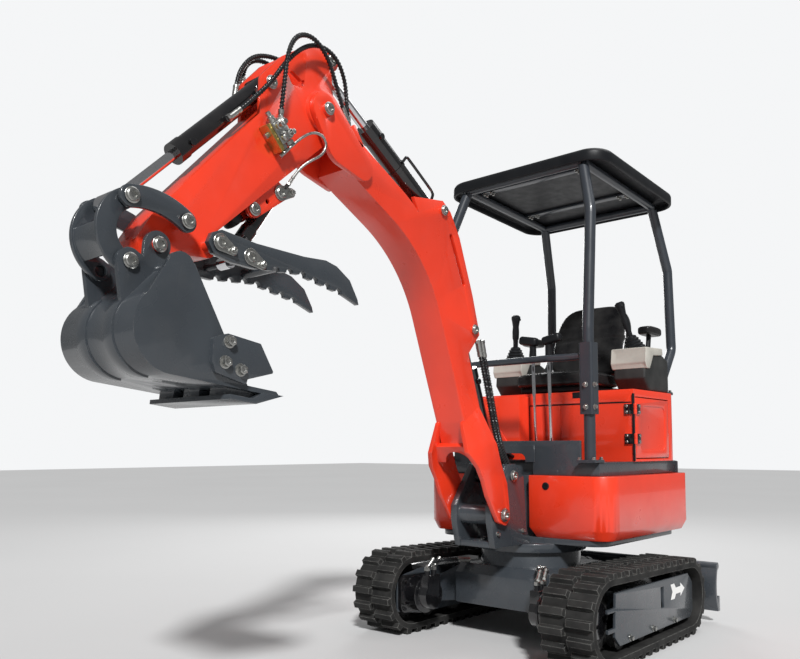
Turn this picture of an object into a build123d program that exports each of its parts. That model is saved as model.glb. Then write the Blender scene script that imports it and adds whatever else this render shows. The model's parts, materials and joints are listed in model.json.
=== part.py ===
"""Tracked mini excavator with an open canopy, a boom, an arm, a bucket and a thumb.

Millimetres, +Z up, +X forward along the boom, +Y to the machine's left.
The origin is on the ground under the slew axis. The upper house is turned
half round on the undercarriage, so the blade lies behind the seat.
"""

import os
from math import acos, atan2, cos, degrees, hypot, radians, sin

from build123d import *

# Fits and plates
FIT = 0.3                # running gap at pins, rods and shafts
PANEL = 12               # sheet panels with their inner frames
LUG_PLATE = 16           # welded lug plates of boom and arm

# Tracks
TRACK_SPAN = 1240        # over both tracks
TRACK_WIDTH = 230
TRACK_Y = (TRACK_SPAN - TRACK_WIDTH) / 2
SPROCKET_X, SPROCKET_R = 403, 190      # radius out to the lug tips
IDLER_X, IDLER_R = -410, 180
BELT, LUG = 25, 22
LUG_COUNT, LUG_LENGTH, LUG_WIDTH = 38, 110, 34
LUG_ROW = 60             # each row of lugs from the belt's middle
TEETH = 12
ROLLER_XS = (-190, 20, 230)
ROLLER_R = 50
FRAME_IN, FRAME_OUT = 80, 92           # side plates either side of the track's middle
FRAME_LOW = 80           # lower edge of the side plates
MOTOR_R, MOTOR_DRUM = 72, 70
SPROCKET_REACH = SPROCKET_R - LUG - BELT - FIT
IDLER_REACH = IDLER_R - LUG - BELT - FIT
FRAME_FRONT_TOP = 2 * SPROCKET_R - LUG - BELT - 40
FRAME_REAR_TOP = 2 * IDLER_R - LUG - BELT - 28

# Turntable
RING_R, RING_Z = 235, 400
BASE_LOW, BASE_TOP, BASE_HALF = 150, 330, 240
DECK_Z, DECK = 440, 26

# Blade
BLADE_X, BLADE_LOW, BLADE_TOP = -735, 60, 285
BLADE_ARM_Y = 190
BLADE_PIN, BLADE_PIN_R = (-335, 190), 18
BLADE_EYE = (-650, 240)
BLADE_BASE, BLADE_BASE_R = (-330, 300), 14
TIE_R = 16               # tie-down hole in each blade arm, just behind the tracks
TIE_HOLE = (IDLER_X - IDLER_R - TIE_R - 6, 172)

# House
FLOOR_Z, COWL_TOP = 808, 747
HOUSE_Y, COWL_FRONT, COWL_ROUND = 503, 172, 90
COWL_BEVEL = 46          # height of the bevelled band along the cowls' foot
MAST_Y = 99              # half width of the space for the boom bracket
BASE_FRONT = -200        # front wall of the seat base
TOE_TOP = 905
HOOD_Y, HOOD_TOP, HOOD_REAR = 450, 1150, -800
HOOD_CORNER = (-660, 330)              # where the side turns in, and where the rear wall starts
DOOR_X0, DOOR_X1, DOOR_Z0, DOOR_Z1 = -600, -217, 825, 1110
HINGE_X, HINGE_Y = -196, 458
HINGE_R, HINGE_H, HINGE_ZS = 8, 50, (890, 1030)
CONSOLE_Y, CONSOLE_TOP = 355, 1350
LEVER_Y, LEVER_TOP = 45, 1330

# Canopy
ROOF_Z = 2235
POST_R, POST_X, POST_Y = 25, 145, 400
POST_BEND = ROOF_Z - 280               # where the front posts lean in
SLEEVE, SLEEVE_LOW, SLEEVE_TOP = 66, 1020, 1337
REAR_POST_X, REAR_POST_Y = -715, 367
RAIL_Z = 1280
BAR_R, BAR_Y = 20, 330
BAR_FRONT, BAR_REAR = (30, ROOF_Z - 25), (-740, ROOF_Z - 61)
BAR_SLOPE = (BAR_FRONT[1] - BAR_REAR[1]) / (BAR_FRONT[0] - BAR_REAR[0])
ROOF_LENGTH, ROOF_WIDTH, ROOF_ROUND = 880, 900, 110
ROOF_SKIN, ROOF_LIP, ROOF_EDGE, ROOF_RISE = 14, 34, 30, 24

# Boom, arm, bucket and thumb: pins as x and z, in the pose of the photo
FOOT, FOOT_R = (428, 583), 26
TIP, TIP_R = (1455, 2056), 24
LIFT_BASE, LIFT_R = (320, 749), 20
BUCKET_PIN, BUCKET_PIN_R = (2108, 1443), 20
BOOM_ANGLE = degrees(atan2(TIP[1] - FOOT[1], TIP[0] - FOOT[0]))
ARM_ANGLE = degrees(atan2(BUCKET_PIN[1] - TIP[1], BUCKET_PIN[0] - TIP[0]))
BUCKET_ANGLE = ARM_ANGLE - 87.9        # bucket pin to lip
BOOM_LENGTH = hypot(TIP[0] - FOOT[0], TIP[1] - FOOT[1])
ARM_LENGTH = hypot(BUCKET_PIN[0] - TIP[0], BUCKET_PIN[1] - TIP[1])
BOOM_HALF, ARM_HALF = 75, 60           # half widths of the boxes
EAR_IN, EAR_OUT = 78, 108              # bracket ears
FORK_IN, FORK_OUT = 114, 134           # boom foot fork, outside the ears
TIP_EAR = 20             # thickness of the boom's tip ears

# In the boom's own frame, from the foot pin towards the tip
LIFT_EYE, LIFT_EYE_R = (730, 348), 18
CROWD_BASE, CROWD_R = (1241, 446), 18
BOOM_KNEE = 1126         # where the boom bends
# In the arm's own frame, from the boom tip towards the bucket pin
CROWD_EYE, CROWD_EYE_R = (-175, 119), 16
CURL_BASE, CURL_R = (149, 174), 16
ROCKER_PIN, ROCKER_PIN_R = (782, 4), 16
ROCKER_TOP, ROCKER_TOP_R = (888, 150), 17
BUCKET_EYE, BUCKET_EYE_R = (1001, 10), 17
THUMB_PIN, THUMB_PIN_R = (733, -100), 20
THUMB_EYE, THUMB_EYE_R = (664, -195), 11
THUMB_BASE, THUMB_BASE_R = (346, -128), 14
SPARE_HOLE, SPARE_R = (415, -122), 9
SECOND_PIN = (482, -112)
# Layers of plates across the bucket end, as middle and half thickness
LINK_LAYER = (69, 7)
EAR_LAYER = (89, 9)
ROCKER_LAYER = (111, 7)
TINE_LAYER = (118, 10)
BRACKET_LAYER = (38, 6)
# In the bucket's own frame, from the bucket pin towards the lip
BUCKET_HALF, BUCKET_WALL, SIDE_WALL = 200, 14, 16
BACK_CENTRE, BACK_R = (185, 170), 123  # round back of the bucket
TONGUE, TONGUE_R = (64, 42), 42        # round top corner of each side plate
LIP = (554, 0)
LINK_EYE = (-10, 105)    # link pin in the bucket's ears


def link_plane(pin, angle):
    """Upright plane on a pin: local x runs along the link, local y to its upper side."""
    a = radians(angle)
    return Plane(origin=(pin[0], 0, pin[1]), x_dir=(cos(a), 0, sin(a)), z_dir=(0, -1, 0))


def top_plane(pin, angle):
    """Plane on a pin, square to its link: local x runs along the link, local y across the machine."""
    a = radians(angle)
    return Plane(origin=(pin[0], 0, pin[1]), x_dir=(cos(a), 0, sin(a)), z_dir=(-sin(a), 0, cos(a)))


def on_link(plane, point):
    """World x and z of a point given in a link's own frame."""
    p = plane.from_local_coords(Vector(point[0], point[1], 0))
    return (p.X, p.Z)


def along(point, angle, distance):
    """Point at a distance from another, in a given direction."""
    return (point[0] + distance * cos(radians(angle)), point[1] + distance * sin(radians(angle)))


BOOM = link_plane(FOOT, BOOM_ANGLE)
ARM = link_plane(TIP, ARM_ANGLE)
BUCKET = link_plane(BUCKET_PIN, BUCKET_ANGLE)
SIDE = Plane.XZ                        # local x and y are world x and z


def disc(plane, point, radius, half, mode=Mode.ADD, at=0):
    """Round boss, pin or bore across the machine, centred at a given y."""
    with BuildSketch(plane.offset(-at)) as face:
        with Locations(point):
            Circle(radius)
    extrude(face.sketch, amount=half, both=True, mode=mode)


def pair_of_discs(plane, point, radius, layer, mode=Mode.ADD):
    """The same disc on both sides of the machine; a layer is a middle and a half thickness."""
    for side in (1, -1):
        disc(plane, point, radius, layer[1], mode, at=side * layer[0])


def outline_slab(plane, points, half, at=0, mode=Mode.ADD, radius=0):
    """Plate cut to an outline, centred at a given y, with its corners rounded."""
    with BuildSketch(plane.offset(-at)) as face:
        with BuildLine():
            Polyline(*points, close=True)
        make_face()
        if radius:
            fillet(face.vertices(), radius)
    extrude(face.sketch, amount=half, both=True, mode=mode)


def hull_slab(plane, circles, half, at=0, mode=Mode.ADD):
    """Plate round a row of circles, each given as x, y and radius."""
    with BuildSketch(plane.offset(-at)) as face:
        for x, y, r in circles:
            with Locations((x, y)):
                Circle(r)
        make_hull()
    extrude(face.sketch, amount=half, both=True, mode=mode)


def curved_slab(plane, start, middle, end, width, half, at=0, mode=Mode.ADD):
    """Plate of one width along an arc, with round ends."""
    with BuildSketch(plane.offset(-at)) as face:
        with BuildLine(mode=Mode.PRIVATE):
            arc = ThreePointArc(start, middle, end)
        SlotArc(arc, width)
    extrude(face.sketch, amount=half, both=True, mode=mode)


def block(x0, x1, y0, y1, z0, z1, mode=Mode.ADD):
    """Box between two corners."""
    with Locations(((x0 + x1) / 2, (y0 + y1) / 2, (z0 + z1) / 2)):
        Box(x1 - x0, y1 - y0, z1 - z0, mode=mode)


def tube(points, radius, bend=0, mode=Mode.ADD):
    """Round bar along a bent line."""
    with BuildLine() as path:
        if len(points) > 2:
            FilletPolyline(*points, radius=bend)
        else:
            Polyline(*points)
    with BuildSketch(Plane(origin=path.line @ 0, z_dir=path.line % 0)) as face:
        Circle(radius)
    sweep(face.sketch, path=path.line, mode=mode)


def round_bar(base, axis, start, end, radius, mode=Mode.ADD):
    """Straight round bar along an axis, between two distances from its base."""
    with BuildSketch(Plane(origin=base + axis * start, z_dir=axis)) as face:
        Circle(radius)
    extrude(face.sketch, amount=end - start, mode=mode)


def finish(part, name):
    """Name a part and write it to its own file."""
    part.label = name
    export_step(part, f"parts/{name}.step")


def side_pair(name, build):
    """One piece on the left side and its mirror image on the right."""
    with BuildPart() as left:
        build()
    finish(left.part, f"{name}_left")
    with BuildPart() as right:
        mirror(left.part, about=Plane.XZ)
    finish(right.part, f"{name}_right")


GLAND, GLAND_STEP = 45, 3              # collar at a barrel's rod end
PORT_R, PORT_RISE = 12, 11             # hose port on a barrel


def cylinder_barrel(base, eye, radius, length, rod, half, pin, ports=True):
    """Barrel of a hydraulic cylinder, from its base eye towards the rod's eye."""
    axis = Vector(eye[0] - base[0], 0, eye[1] - base[1]).normalized()
    foot = Vector(base[0], 0, base[1])
    with BuildPart() as barrel:
        round_bar(foot, axis, 0, length, radius)
        round_bar(foot, axis, length - GLAND, length, radius + GLAND_STEP)
        disc(SIDE, base, radius + 1.5, half)
        if ports:
            for spot in (radius + PORT_R + 8, length - GLAND - PORT_R - 4):
                round_bar(foot + axis * spot, Vector(0, 1, 0), 0, radius + PORT_RISE, PORT_R)
        round_bar(foot, axis, pin + 22, length + 1, rod + FIT, Mode.SUBTRACT)
        disc(SIDE, base, pin + FIT, half + 5, Mode.SUBTRACT)
    return barrel.part


def cylinder_rod(base, eye, start, rod, ring, half, bore):
    """Rod of a hydraulic cylinder with its eye; start is its inner end, from the base pin."""
    span = hypot(eye[0] - base[0], eye[1] - base[1])
    axis = Vector(eye[0] - base[0], 0, eye[1] - base[1]).normalized()
    with BuildPart() as stem:
        round_bar(Vector(base[0], 0, base[1]), axis, start, span, rod)
        disc(SIDE, eye, ring, half)
        disc(SIDE, eye, bore, half + 5, Mode.SUBTRACT)
    return stem.part


os.makedirs("parts", exist_ok=True)


# Undercarriage

def track_loop(plane, inset, half, mode=Mode.ADD):
    """Loop round sprocket and idler, drawn in from the lug tips."""
    hull_slab(plane, [(SPROCKET_X, SPROCKET_R, SPROCKET_R - inset),
                      (IDLER_X, IDLER_R, IDLER_R - inset)], half, mode=mode)


with BuildSketch(SIDE) as belt_line:
    with Locations((SPROCKET_X, SPROCKET_R)):
        Circle(SPROCKET_R - LUG)
    with Locations((IDLER_X, IDLER_R)):
        Circle(IDLER_R - LUG)
    make_hull()
BELT_WIRE = belt_line.sketch.faces()[0].outer_wire()
TRACK_MIDDLE = Vector(0, 0, (SPROCKET_R + IDLER_R) / 2)
LUG_SINK = 3             # how far a lug starts inside the belt


def lug_planes(phase, y):
    """Seats of one row of lugs along the belt, just under its face and facing outwards."""
    seats = []
    for i in range(LUG_COUNT):
        t = ((i + phase) / LUG_COUNT) % 1.0
        p, d = BELT_WIRE.position_at(t), BELT_WIRE.tangent_at(t)
        out = d.cross(Vector(0, 1, 0))
        if out.dot(p - TRACK_MIDDLE) < 0:
            out = -out
        seats.append(Plane(origin=p + Vector(0, y, 0) - out * LUG_SINK, x_dir=d, z_dir=out))
    return seats


def build_track():
    track_loop(SIDE.offset(-TRACK_Y), LUG, TRACK_WIDTH / 2)
    track_loop(SIDE.offset(-TRACK_Y), LUG + BELT, TRACK_WIDTH, Mode.SUBTRACT)
    with BuildSketch(*lug_planes(0.0, TRACK_Y + LUG_ROW), *lug_planes(0.5, TRACK_Y - LUG_ROW)) as lugs:
        Rectangle(LUG_WIDTH, LUG_LENGTH)
    extrude(lugs.sketch, amount=LUG + LUG_SINK - 0.5, taper=8)


def build_sprocket():
    centre = (SPROCKET_X, SPROCKET_R)
    disc(SIDE, centre, SPROCKET_REACH, 24, at=TRACK_Y)
    with BuildSketch(SIDE.offset(-TRACK_Y)) as gaps:
        with Locations(centre):
            with PolarLocations(SPROCKET_REACH + 6, TEETH, start_angle=180 / TEETH):
                Circle(20)
    extrude(gaps.sketch, amount=30, both=True, mode=Mode.SUBTRACT)
    disc(SIDE, centre, 96, 40, at=TRACK_Y)
    disc(SIDE, centre, MOTOR_R + FIT, 60, Mode.SUBTRACT, at=TRACK_Y)


def build_idler():
    centre = (IDLER_X, IDLER_R)
    disc(SIDE, centre, IDLER_REACH, 42, at=TRACK_Y)
    for y in (TRACK_Y - 45, TRACK_Y + 45):
        disc(SIDE, centre, IDLER_REACH - 25, 30, Mode.SUBTRACT, at=y)
    disc(SIDE, centre, 34, FRAME_IN - FIT, at=TRACK_Y)


def build_rollers():
    z = LUG + BELT + FIT + ROLLER_R
    for x in ROLLER_XS:
        disc(SIDE, (x, z), ROLLER_R - 12, 55, at=TRACK_Y)
        for y in (TRACK_Y - 40, TRACK_Y + 40):
            disc(SIDE, (x, z), ROLLER_R, 15, at=y)
        disc(SIDE, (x, z), 18, FRAME_IN - FIT, at=TRACK_Y)


def build_motor():
    """Hub inside the sprocket, flange on the side frame, drum and end cap with its ports."""
    centre = (SPROCKET_X, SPROCKET_R)
    flange_y = TRACK_Y - FRAME_OUT - FIT
    disc(SIDE, centre, MOTOR_R, 76, at=TRACK_Y - 24)
    with BuildSketch(SIDE.offset(-flange_y)) as flange:
        with Locations(centre):
            RectangleRounded(190, 170, 30)
    extrude(flange.sketch, amount=20)
    disc(SIDE, centre, MOTOR_R + 6, MOTOR_DRUM / 2, at=flange_y - 20 - MOTOR_DRUM / 2)
    disc(SIDE, centre, MOTOR_R + 12, 6, at=flange_y - 20 - MOTOR_DRUM)
    disc(SIDE, centre, MOTOR_R - 10, 22, at=flange_y - 26 - MOTOR_DRUM - 22)
    cap = flange_y - 26 - MOTOR_DRUM
    block(SPROCKET_X - 48, SPROCKET_X + 48, cap - 44, cap, SPROCKET_R + 20, SPROCKET_R + 92)
    for x in (SPROCKET_X - 24, SPROCKET_X + 24):
        round_bar(Vector(x, cap - 22, SPROCKET_R + 90), Vector(0, 0, 1), 0, 24, 13)


side_pair("track", build_track)
side_pair("sprocket", build_sprocket)
side_pair("idler", build_idler)
side_pair("rollers", build_rollers)
side_pair("travel_motor", build_motor)

FRAME_REAR = IDLER_X - 63              # rear end of the side plates
FRAME_FRONT = SPROCKET_X - 60          # front end of the outer side plate
BEAM_LOW = LUG + BELT + 2 * ROLLER_R + 43
LEG_X, LEG_HALF, LEG_OUT_TOP = 170, 60, 235
WINDOW = (-142, -108, 168, 258)        # hand hole in the outer side plate


def build_side_frame(side):
    """Side plates of one track with the box beam between them and ribs towards the sprocket."""
    plate = (FRAME_OUT - FRAME_IN) / 2
    middle = side * TRACK_Y
    outer = side * (TRACK_Y + FRAME_IN + plate)
    inner = side * (TRACK_Y - FRAME_IN - plate)
    tail = [(IDLER_X - 10, FRAME_REAR_TOP), (FRAME_REAR, IDLER_R + 60), (FRAME_REAR, IDLER_R - 70),
            (FRAME_REAR + 33, FRAME_LOW)]
    outline_slab(SIDE, tail + [(FRAME_FRONT - 43, FRAME_LOW), (FRAME_FRONT, FRAME_LOW + 40),
                               (FRAME_FRONT - 13, FRAME_FRONT_TOP)], plate, at=outer, radius=10)
    outline_slab(SIDE, tail + [(FRAME_FRONT - 13, FRAME_LOW), (SPROCKET_X + 97, SPROCKET_R - 80),
                               (SPROCKET_X + 97, SPROCKET_R + 80), (FRAME_FRONT - 13, FRAME_FRONT_TOP)],
                 plate, at=inner, radius=10)
    disc(SIDE, (SPROCKET_X, SPROCKET_R), MOTOR_R + FIT, plate + 5, Mode.SUBTRACT, at=inner)
    block(IDLER_X + IDLER_REACH + 22, SPROCKET_X - SPROCKET_REACH - 10, middle - FRAME_IN, middle + FRAME_IN,
          BEAM_LOW, FRAME_REAR_TOP)
    x0, x1, z0, z1 = WINDOW
    block(x0, x1, outer - 20, outer + 20, z0, z1, Mode.SUBTRACT)
    for z in (SPROCKET_R - 48, SPROCKET_R + 30):
        block(FRAME_FRONT - 20, SPROCKET_X, outer - plate, outer + plate, z, z + 16)


with BuildPart() as track_frame:
    for side in (1, -1):
        build_side_frame(side)
    for x in (-LEG_X, LEG_X):
        reach = TRACK_Y - FRAME_OUT
        with BuildSketch(Plane.YZ.offset(x)) as leg:
            with BuildLine():
                Polyline((-reach, 125), (-reach, LEG_OUT_TOP), (-BASE_HALF, BASE_TOP - 8),
                         (BASE_HALF, BASE_TOP - 8), (reach, LEG_OUT_TOP), (reach, 125),
                         (BASE_HALF, BASE_LOW), (-BASE_HALF, BASE_LOW), close=True)
            make_face()
        extrude(leg.sketch, amount=LEG_HALF, both=True)
    outline_slab(SIDE, [(-280, BASE_LOW), (280, BASE_LOW), (280, BASE_TOP - 40), (BASE_HALF, BASE_TOP),
                        (-BASE_HALF, BASE_TOP), (-280, BASE_TOP - 40)], BASE_HALF)
    with BuildSketch(Plane.XY.offset(BASE_TOP)):
        Circle(RING_R)
    extrude(amount=RING_Z - BASE_TOP)
    for y in (-BLADE_ARM_Y, BLADE_ARM_Y):
        for gap in (-32, 32):
            hull_slab(SIDE, [(*BLADE_PIN, 36), (BLADE_PIN[0] + 85, BLADE_PIN[1], 40)], 12, at=y + gap)
        disc(SIDE, BLADE_PIN, BLADE_PIN_R, 44, at=y)
    for y in (-52, 52):
        hull_slab(SIDE, [(*BLADE_BASE, 28), (BLADE_BASE[0] + 105, BLADE_BASE[1] - 10, 34)], 8, at=y)
    disc(SIDE, BLADE_BASE, BLADE_BASE_R, 60)
finish(track_frame.part, "track_frame")


# Blade

with BuildPart() as blade:
    with BuildSketch(SIDE.offset(TRACK_SPAN / 2)):
        with BuildLine():
            ThreePointArc((BLADE_X - 30, BLADE_LOW), (BLADE_X, 165), (BLADE_X - 30, BLADE_TOP))
            Line((BLADE_X - 30, BLADE_TOP), (BLADE_X - 14, BLADE_TOP))
            ThreePointArc((BLADE_X - 14, BLADE_TOP), (BLADE_X + 18, 165), (BLADE_X - 14, BLADE_LOW))
            Line((BLADE_X - 14, BLADE_LOW), (BLADE_X - 30, BLADE_LOW))
        make_face()
        with Locations((BLADE_X - 20, BLADE_TOP - 4)):
            Circle(18)
        with Locations((BLADE_X - 24, BLADE_LOW + 36)):
            Rectangle(28, 72)
    extrude(amount=-TRACK_SPAN)
    for y in (-BLADE_ARM_Y, BLADE_ARM_Y):
        hull_slab(SIDE, [(*BLADE_PIN, 34), (BLADE_X + 12, 165, 38)], 14, at=y)
        disc(SIDE, BLADE_PIN, BLADE_PIN_R + FIT, 20, Mode.SUBTRACT, at=y)
        disc(SIDE, TIE_HOLE, TIE_R, 20, Mode.SUBTRACT, at=y)
    block(BLADE_X + 20, BLADE_X + 95, -BLADE_ARM_Y, BLADE_ARM_Y, 140, 195)
    for y in (-38, 38):
        hull_slab(SIDE, [(*BLADE_EYE, 26), (BLADE_X + 100, 180, 26)], 7, at=y)
        hull_slab(SIDE, [(BLADE_X + 8, 200, 20), (BLADE_X + 100, 180, 26)], 7, at=y)
        disc(SIDE, BLADE_EYE, 12, 8, at=y * 1.35)
finish(blade.part, "blade")

finish(cylinder_barrel(BLADE_BASE, BLADE_EYE, 34, 250, 16, 29, BLADE_BASE_R), "blade_barrel")
finish(cylinder_rod(BLADE_BASE, BLADE_EYE, 130, 16, 24, 28, 13), "blade_rod")


# House

with BuildPart() as house_frame:
    with BuildSketch(Plane.XY.offset(RING_Z + FIT)):
        Circle(RING_R + 27)
    extrude(amount=DECK_Z - RING_Z - FIT)
    with BuildSketch(Plane.XY.offset(DECK_Z)):
        with Locations((-265, 0)):
            RectangleRounded(830, 900, 90)
        with Locations((300, 0)):
            Rectangle(320, 2 * EAR_IN)
    extrude(amount=DECK)
    block(BASE_FRONT - PANEL, COWL_FRONT - 40, -MAST_Y, MAST_Y, DECK_Z + DECK, COWL_TOP)
finish(house_frame.part, "house_frame")

with BuildPart() as boom_bracket:
    for side in (1, -1):
        with BuildSketch(SIDE.offset(-side * (EAR_OUT + EAR_IN) / 2)) as ear:
            with BuildLine():
                Polyline((170, DECK_Z), (207, 510), (225, 740), (288, 800), (352, 800), (488, 620),
                         (488, 555), (460, DECK_Z), close=True)
            make_face()
            fillet(ear.vertices().filter_by(lambda v: v.Z > DECK_Z + 10), 24)
        extrude(ear.sketch, amount=(EAR_OUT - EAR_IN) / 2, both=True)
    disc(SIDE, LIFT_BASE, LIFT_R, EAR_OUT + 8)
    disc(SIDE, FOOT, FOOT_R, FORK_OUT + 4)
    disc(SIDE, FOOT, FOOT_R + 20, EAR_IN)
finish(boom_bracket.part, "boom_bracket")


def build_cowl():
    """Side cover with a rounded front corner and a bevelled band along its foot."""
    with BuildSketch(Plane.XY.offset(DECK_Z + DECK + COWL_BEVEL)) as plan:
        with BuildLine():
            Polyline((COWL_FRONT, MAST_Y + 1), (COWL_FRONT, HOUSE_Y), (-700, HOUSE_Y), (-700, 425),
                     (-640, 440), (BASE_FRONT - 15, 440), (BASE_FRONT - 15, MAST_Y + 1), close=True)
        make_face()
        fillet(plan.vertices().filter_by(lambda v: v.X > 0 and v.Y > 400), COWL_ROUND)
        fillet(plan.vertices().filter_by(lambda v: v.X < -690 and v.Y > HOUSE_Y - 1), 40)
    extrude(plan.sketch, amount=COWL_TOP - DECK_Z - DECK - COWL_BEVEL)
    extrude(plan.sketch, amount=COWL_BEVEL, dir=(0, 0, -1), taper=28)


side_pair("cowl", build_cowl)

with BuildPart() as counterweight:
    with BuildSketch(Plane.XY.offset(500)):
        with BuildLine():
            Line((-703, 455), (-703, -455))
            ThreePointArc((-703, -455), (-810, 0), (-703, 455))
        make_face()
    extrude(amount=FLOOR_Z - 500)
    chamfer(counterweight.faces().sort_by(Axis.Z)[0].edges().filter_by(GeomType.CIRCLE), 40)
finish(counterweight.part, "counterweight")

with BuildPart() as floor:
    block(-702.7, 140, -440, 440, COWL_TOP, FLOOR_Z)
    block(-640, BASE_FRONT - 15, -400, 400, COWL_TOP, FLOOR_Z, Mode.SUBTRACT)
    block(126, 140, -350, 350, FLOOR_Z, TOE_TOP)
    with BuildSketch(Plane.YZ.offset(100)) as notch:
        with Locations((0, 795)):
            RectangleRounded(210, 150, 45)
    extrude(notch.sketch, amount=60, mode=Mode.SUBTRACT)
finish(floor.part, "floor")

SEAM = 4                 # panel seams, width and depth
with BuildPart() as seat_base:
    block(BASE_FRONT - PANEL, BASE_FRONT, -HOOD_Y, HOOD_Y, FLOOR_Z, HOOD_TOP)
    block(BASE_FRONT, -101, -416, -120, FLOOR_Z, 1135)
    block(BASE_FRONT - SEAM, BASE_FRONT, -118, 400, 1088, 1088 + SEAM, Mode.SUBTRACT)
    block(BASE_FRONT - SEAM, BASE_FRONT, 60, 60 + SEAM, FLOOR_Z, 1088, Mode.SUBTRACT)
    for z in HINGE_ZS:
        block(BASE_FRONT, BASE_FRONT + 6, 405, 447, z, z + HINGE_H)
        block(BASE_FRONT, BASE_FRONT + 6, 440, 455, z, z + HINGE_H / 2)
        with Locations((HINGE_X, HINGE_Y, z + HINGE_H / 4)):
            Cylinder(HINGE_R, HINGE_H / 2)
finish(seat_base.part, "seat_base")

VENTS, VENT_GAP, VENT_STEP, VENT_Z = 9, 10, 24, 880
with BuildPart() as rear_hood:
    with BuildSketch(Plane.XY.offset(FLOOR_Z)) as plan:
        with BuildLine():
            Polyline((BASE_FRONT - PANEL, HOOD_Y), (HOOD_CORNER[0], HOOD_Y), (HOOD_REAR + 12, HOOD_CORNER[1]),
                     (HOOD_REAR, 0), (HOOD_REAR + 12, -HOOD_CORNER[1]), (HOOD_CORNER[0], -HOOD_Y),
                     (BASE_FRONT - PANEL, -HOOD_Y), close=True)
        make_face()
        fillet(plan.vertices().filter_by(lambda v: v.X < -600), 60)
    extrude(amount=HOOD_TOP - FLOOR_Z)
    shell_open = [rear_hood.faces().sort_by(Axis.Z)[0], rear_hood.faces().sort_by(Axis.X)[-1]]
    offset(amount=-PANEL, openings=shell_open)
    block(DOOR_X0 - 5, BASE_FRONT, HOOD_Y - 40, HOOD_Y + 10, DOOR_Z0 - 5, DOOR_Z1 + 5, Mode.SUBTRACT)
    for side in (1, -1):
        turn = degrees(atan2(HOOD_Y - HOOD_CORNER[1], HOOD_CORNER[0] - HOOD_REAR - 12))
        middle = ((HOOD_CORNER[0] + HOOD_REAR + 12) / 2, side * (HOOD_Y + HOOD_CORNER[1]) / 2)
        for i in range(VENTS):
            with Locations(Location((*middle, VENT_Z + i * VENT_STEP), (0, 0, side * turn))):
                Box(90, 60, VENT_GAP, mode=Mode.SUBTRACT)
    for i in range(VENTS):
        z = VENT_Z + i * VENT_STEP
        block(HOOD_REAR - 20, HOOD_REAR + 40, -200, 200, z, z + VENT_GAP, Mode.SUBTRACT)
finish(rear_hood.part, "rear_hood")

with BuildPart() as side_door:
    block(DOOR_X0, DOOR_X1, HOOD_Y - PANEL, HOOD_Y, DOOR_Z0, DOOR_Z1)
    with BuildSketch(SIDE.offset(-HOOD_Y)) as panel:
        with Locations(((DOOR_X0 + DOOR_X1) / 2 - 15, (DOOR_Z0 + DOOR_Z1) / 2)):
            RectangleRounded(DOOR_X1 - DOOR_X0 - 110, DOOR_Z1 - DOOR_Z0 - 70, 40)
    extrude(panel.sketch, amount=SEAM, mode=Mode.SUBTRACT)
    for z in HINGE_ZS:
        block(DOOR_X1 - 35, DOOR_X1, HOOD_Y, HOOD_Y + 6, z, z + HINGE_H)
        block(DOOR_X1 - 5, HINGE_X, HOOD_Y + 2, HOOD_Y + 6, z + HINGE_H / 2 + FIT, z + HINGE_H)
        with Locations((HINGE_X, HINGE_Y, z + HINGE_H * 0.75 + FIT / 2)):
            Cylinder(HINGE_R, HINGE_H / 2 - FIT)
finish(side_door.part, "side_door")

with BuildPart() as engine:
    block(-600, -280, -210, 210, DECK_Z + DECK, 1060)
finish(engine.part, "engine")

SEAT_HALF = 225
with BuildPart() as seat:
    block(-620, -250, -190, 190, HOOD_TOP, HOOD_TOP + 42)
    outline_slab(SIDE, [(-190, HOOD_TOP + 40), (-190, 1258), (-545, 1236), (-690, 1655), (-768, 1650),
                        (-700, 1190), (-640, HOOD_TOP + 40)], SEAT_HALF, radius=28)
    fillet(seat.faces().filter_by(Axis.Y).group_by(Axis.Y)[-1].edges().filter_by(lambda e: e.length > 60), 14)
    fillet(seat.faces().filter_by(Axis.Y).group_by(Axis.Y)[0].edges().filter_by(lambda e: e.length > 60), 14)
finish(seat.part, "seat")


def build_console():
    outline_slab(SIDE, [(-360, 1215), (-374, CONSOLE_TOP), (-560, CONSOLE_TOP), (-647, CONSOLE_TOP - 30),
                        (-647, HOOD_TOP), (-420, HOOD_TOP)], 85, at=CONSOLE_Y, radius=16)


def build_joystick():
    """Bellows, stem and grip, leaning forwards and inwards."""
    base = Vector(-440, CONSOLE_Y, CONSOLE_TOP)
    axis = Vector(55, -40, 250).normalized()
    with BuildSketch(Plane(origin=base, z_dir=axis)) as bellows:
        Circle(38)
    extrude(bellows.sketch, amount=70, taper=17)
    round_bar(base, axis, 60, 130, 9)
    with BuildSketch(Plane(origin=base + axis * 120, z_dir=axis)) as grip:
        RectangleRounded(34, 44, 15)
    extrude(grip.sketch, amount=125)
    block(-460, -400, CONSOLE_Y - 50, CONSOLE_Y + 50, CONSOLE_TOP - 40, CONSOLE_TOP, Mode.SUBTRACT)


side_pair("console", build_console)
side_pair("joystick", build_joystick)

with BuildPart() as travel_levers:
    for y in (-LEVER_Y, LEVER_Y):
        block(-165, -115, y - 25, y + 25, FLOOR_Z, FLOOR_Z + 40)
        tube([(-140, y, FLOOR_Z + 30), (-120, y, LEVER_TOP)], 9)
        with Locations((-118, y, LEVER_TOP + 45)):
            Box(34, 62, 100)
finish(travel_levers.part, "travel_levers")


def cut_bars():
    """Room for the roof bars at the head of a post."""
    over = 60
    tube([(BAR_FRONT[0] + over, BAR_Y, BAR_FRONT[1] + over * BAR_SLOPE),
          (BAR_REAR[0] - over, BAR_Y, BAR_REAR[1] - over * BAR_SLOPE)], BAR_R + FIT, mode=Mode.SUBTRACT)
    for x, z in (BAR_FRONT, BAR_REAR):
        tube([(x, 0, z), (x, BAR_Y + over, z)], BAR_R + FIT, mode=Mode.SUBTRACT)


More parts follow.
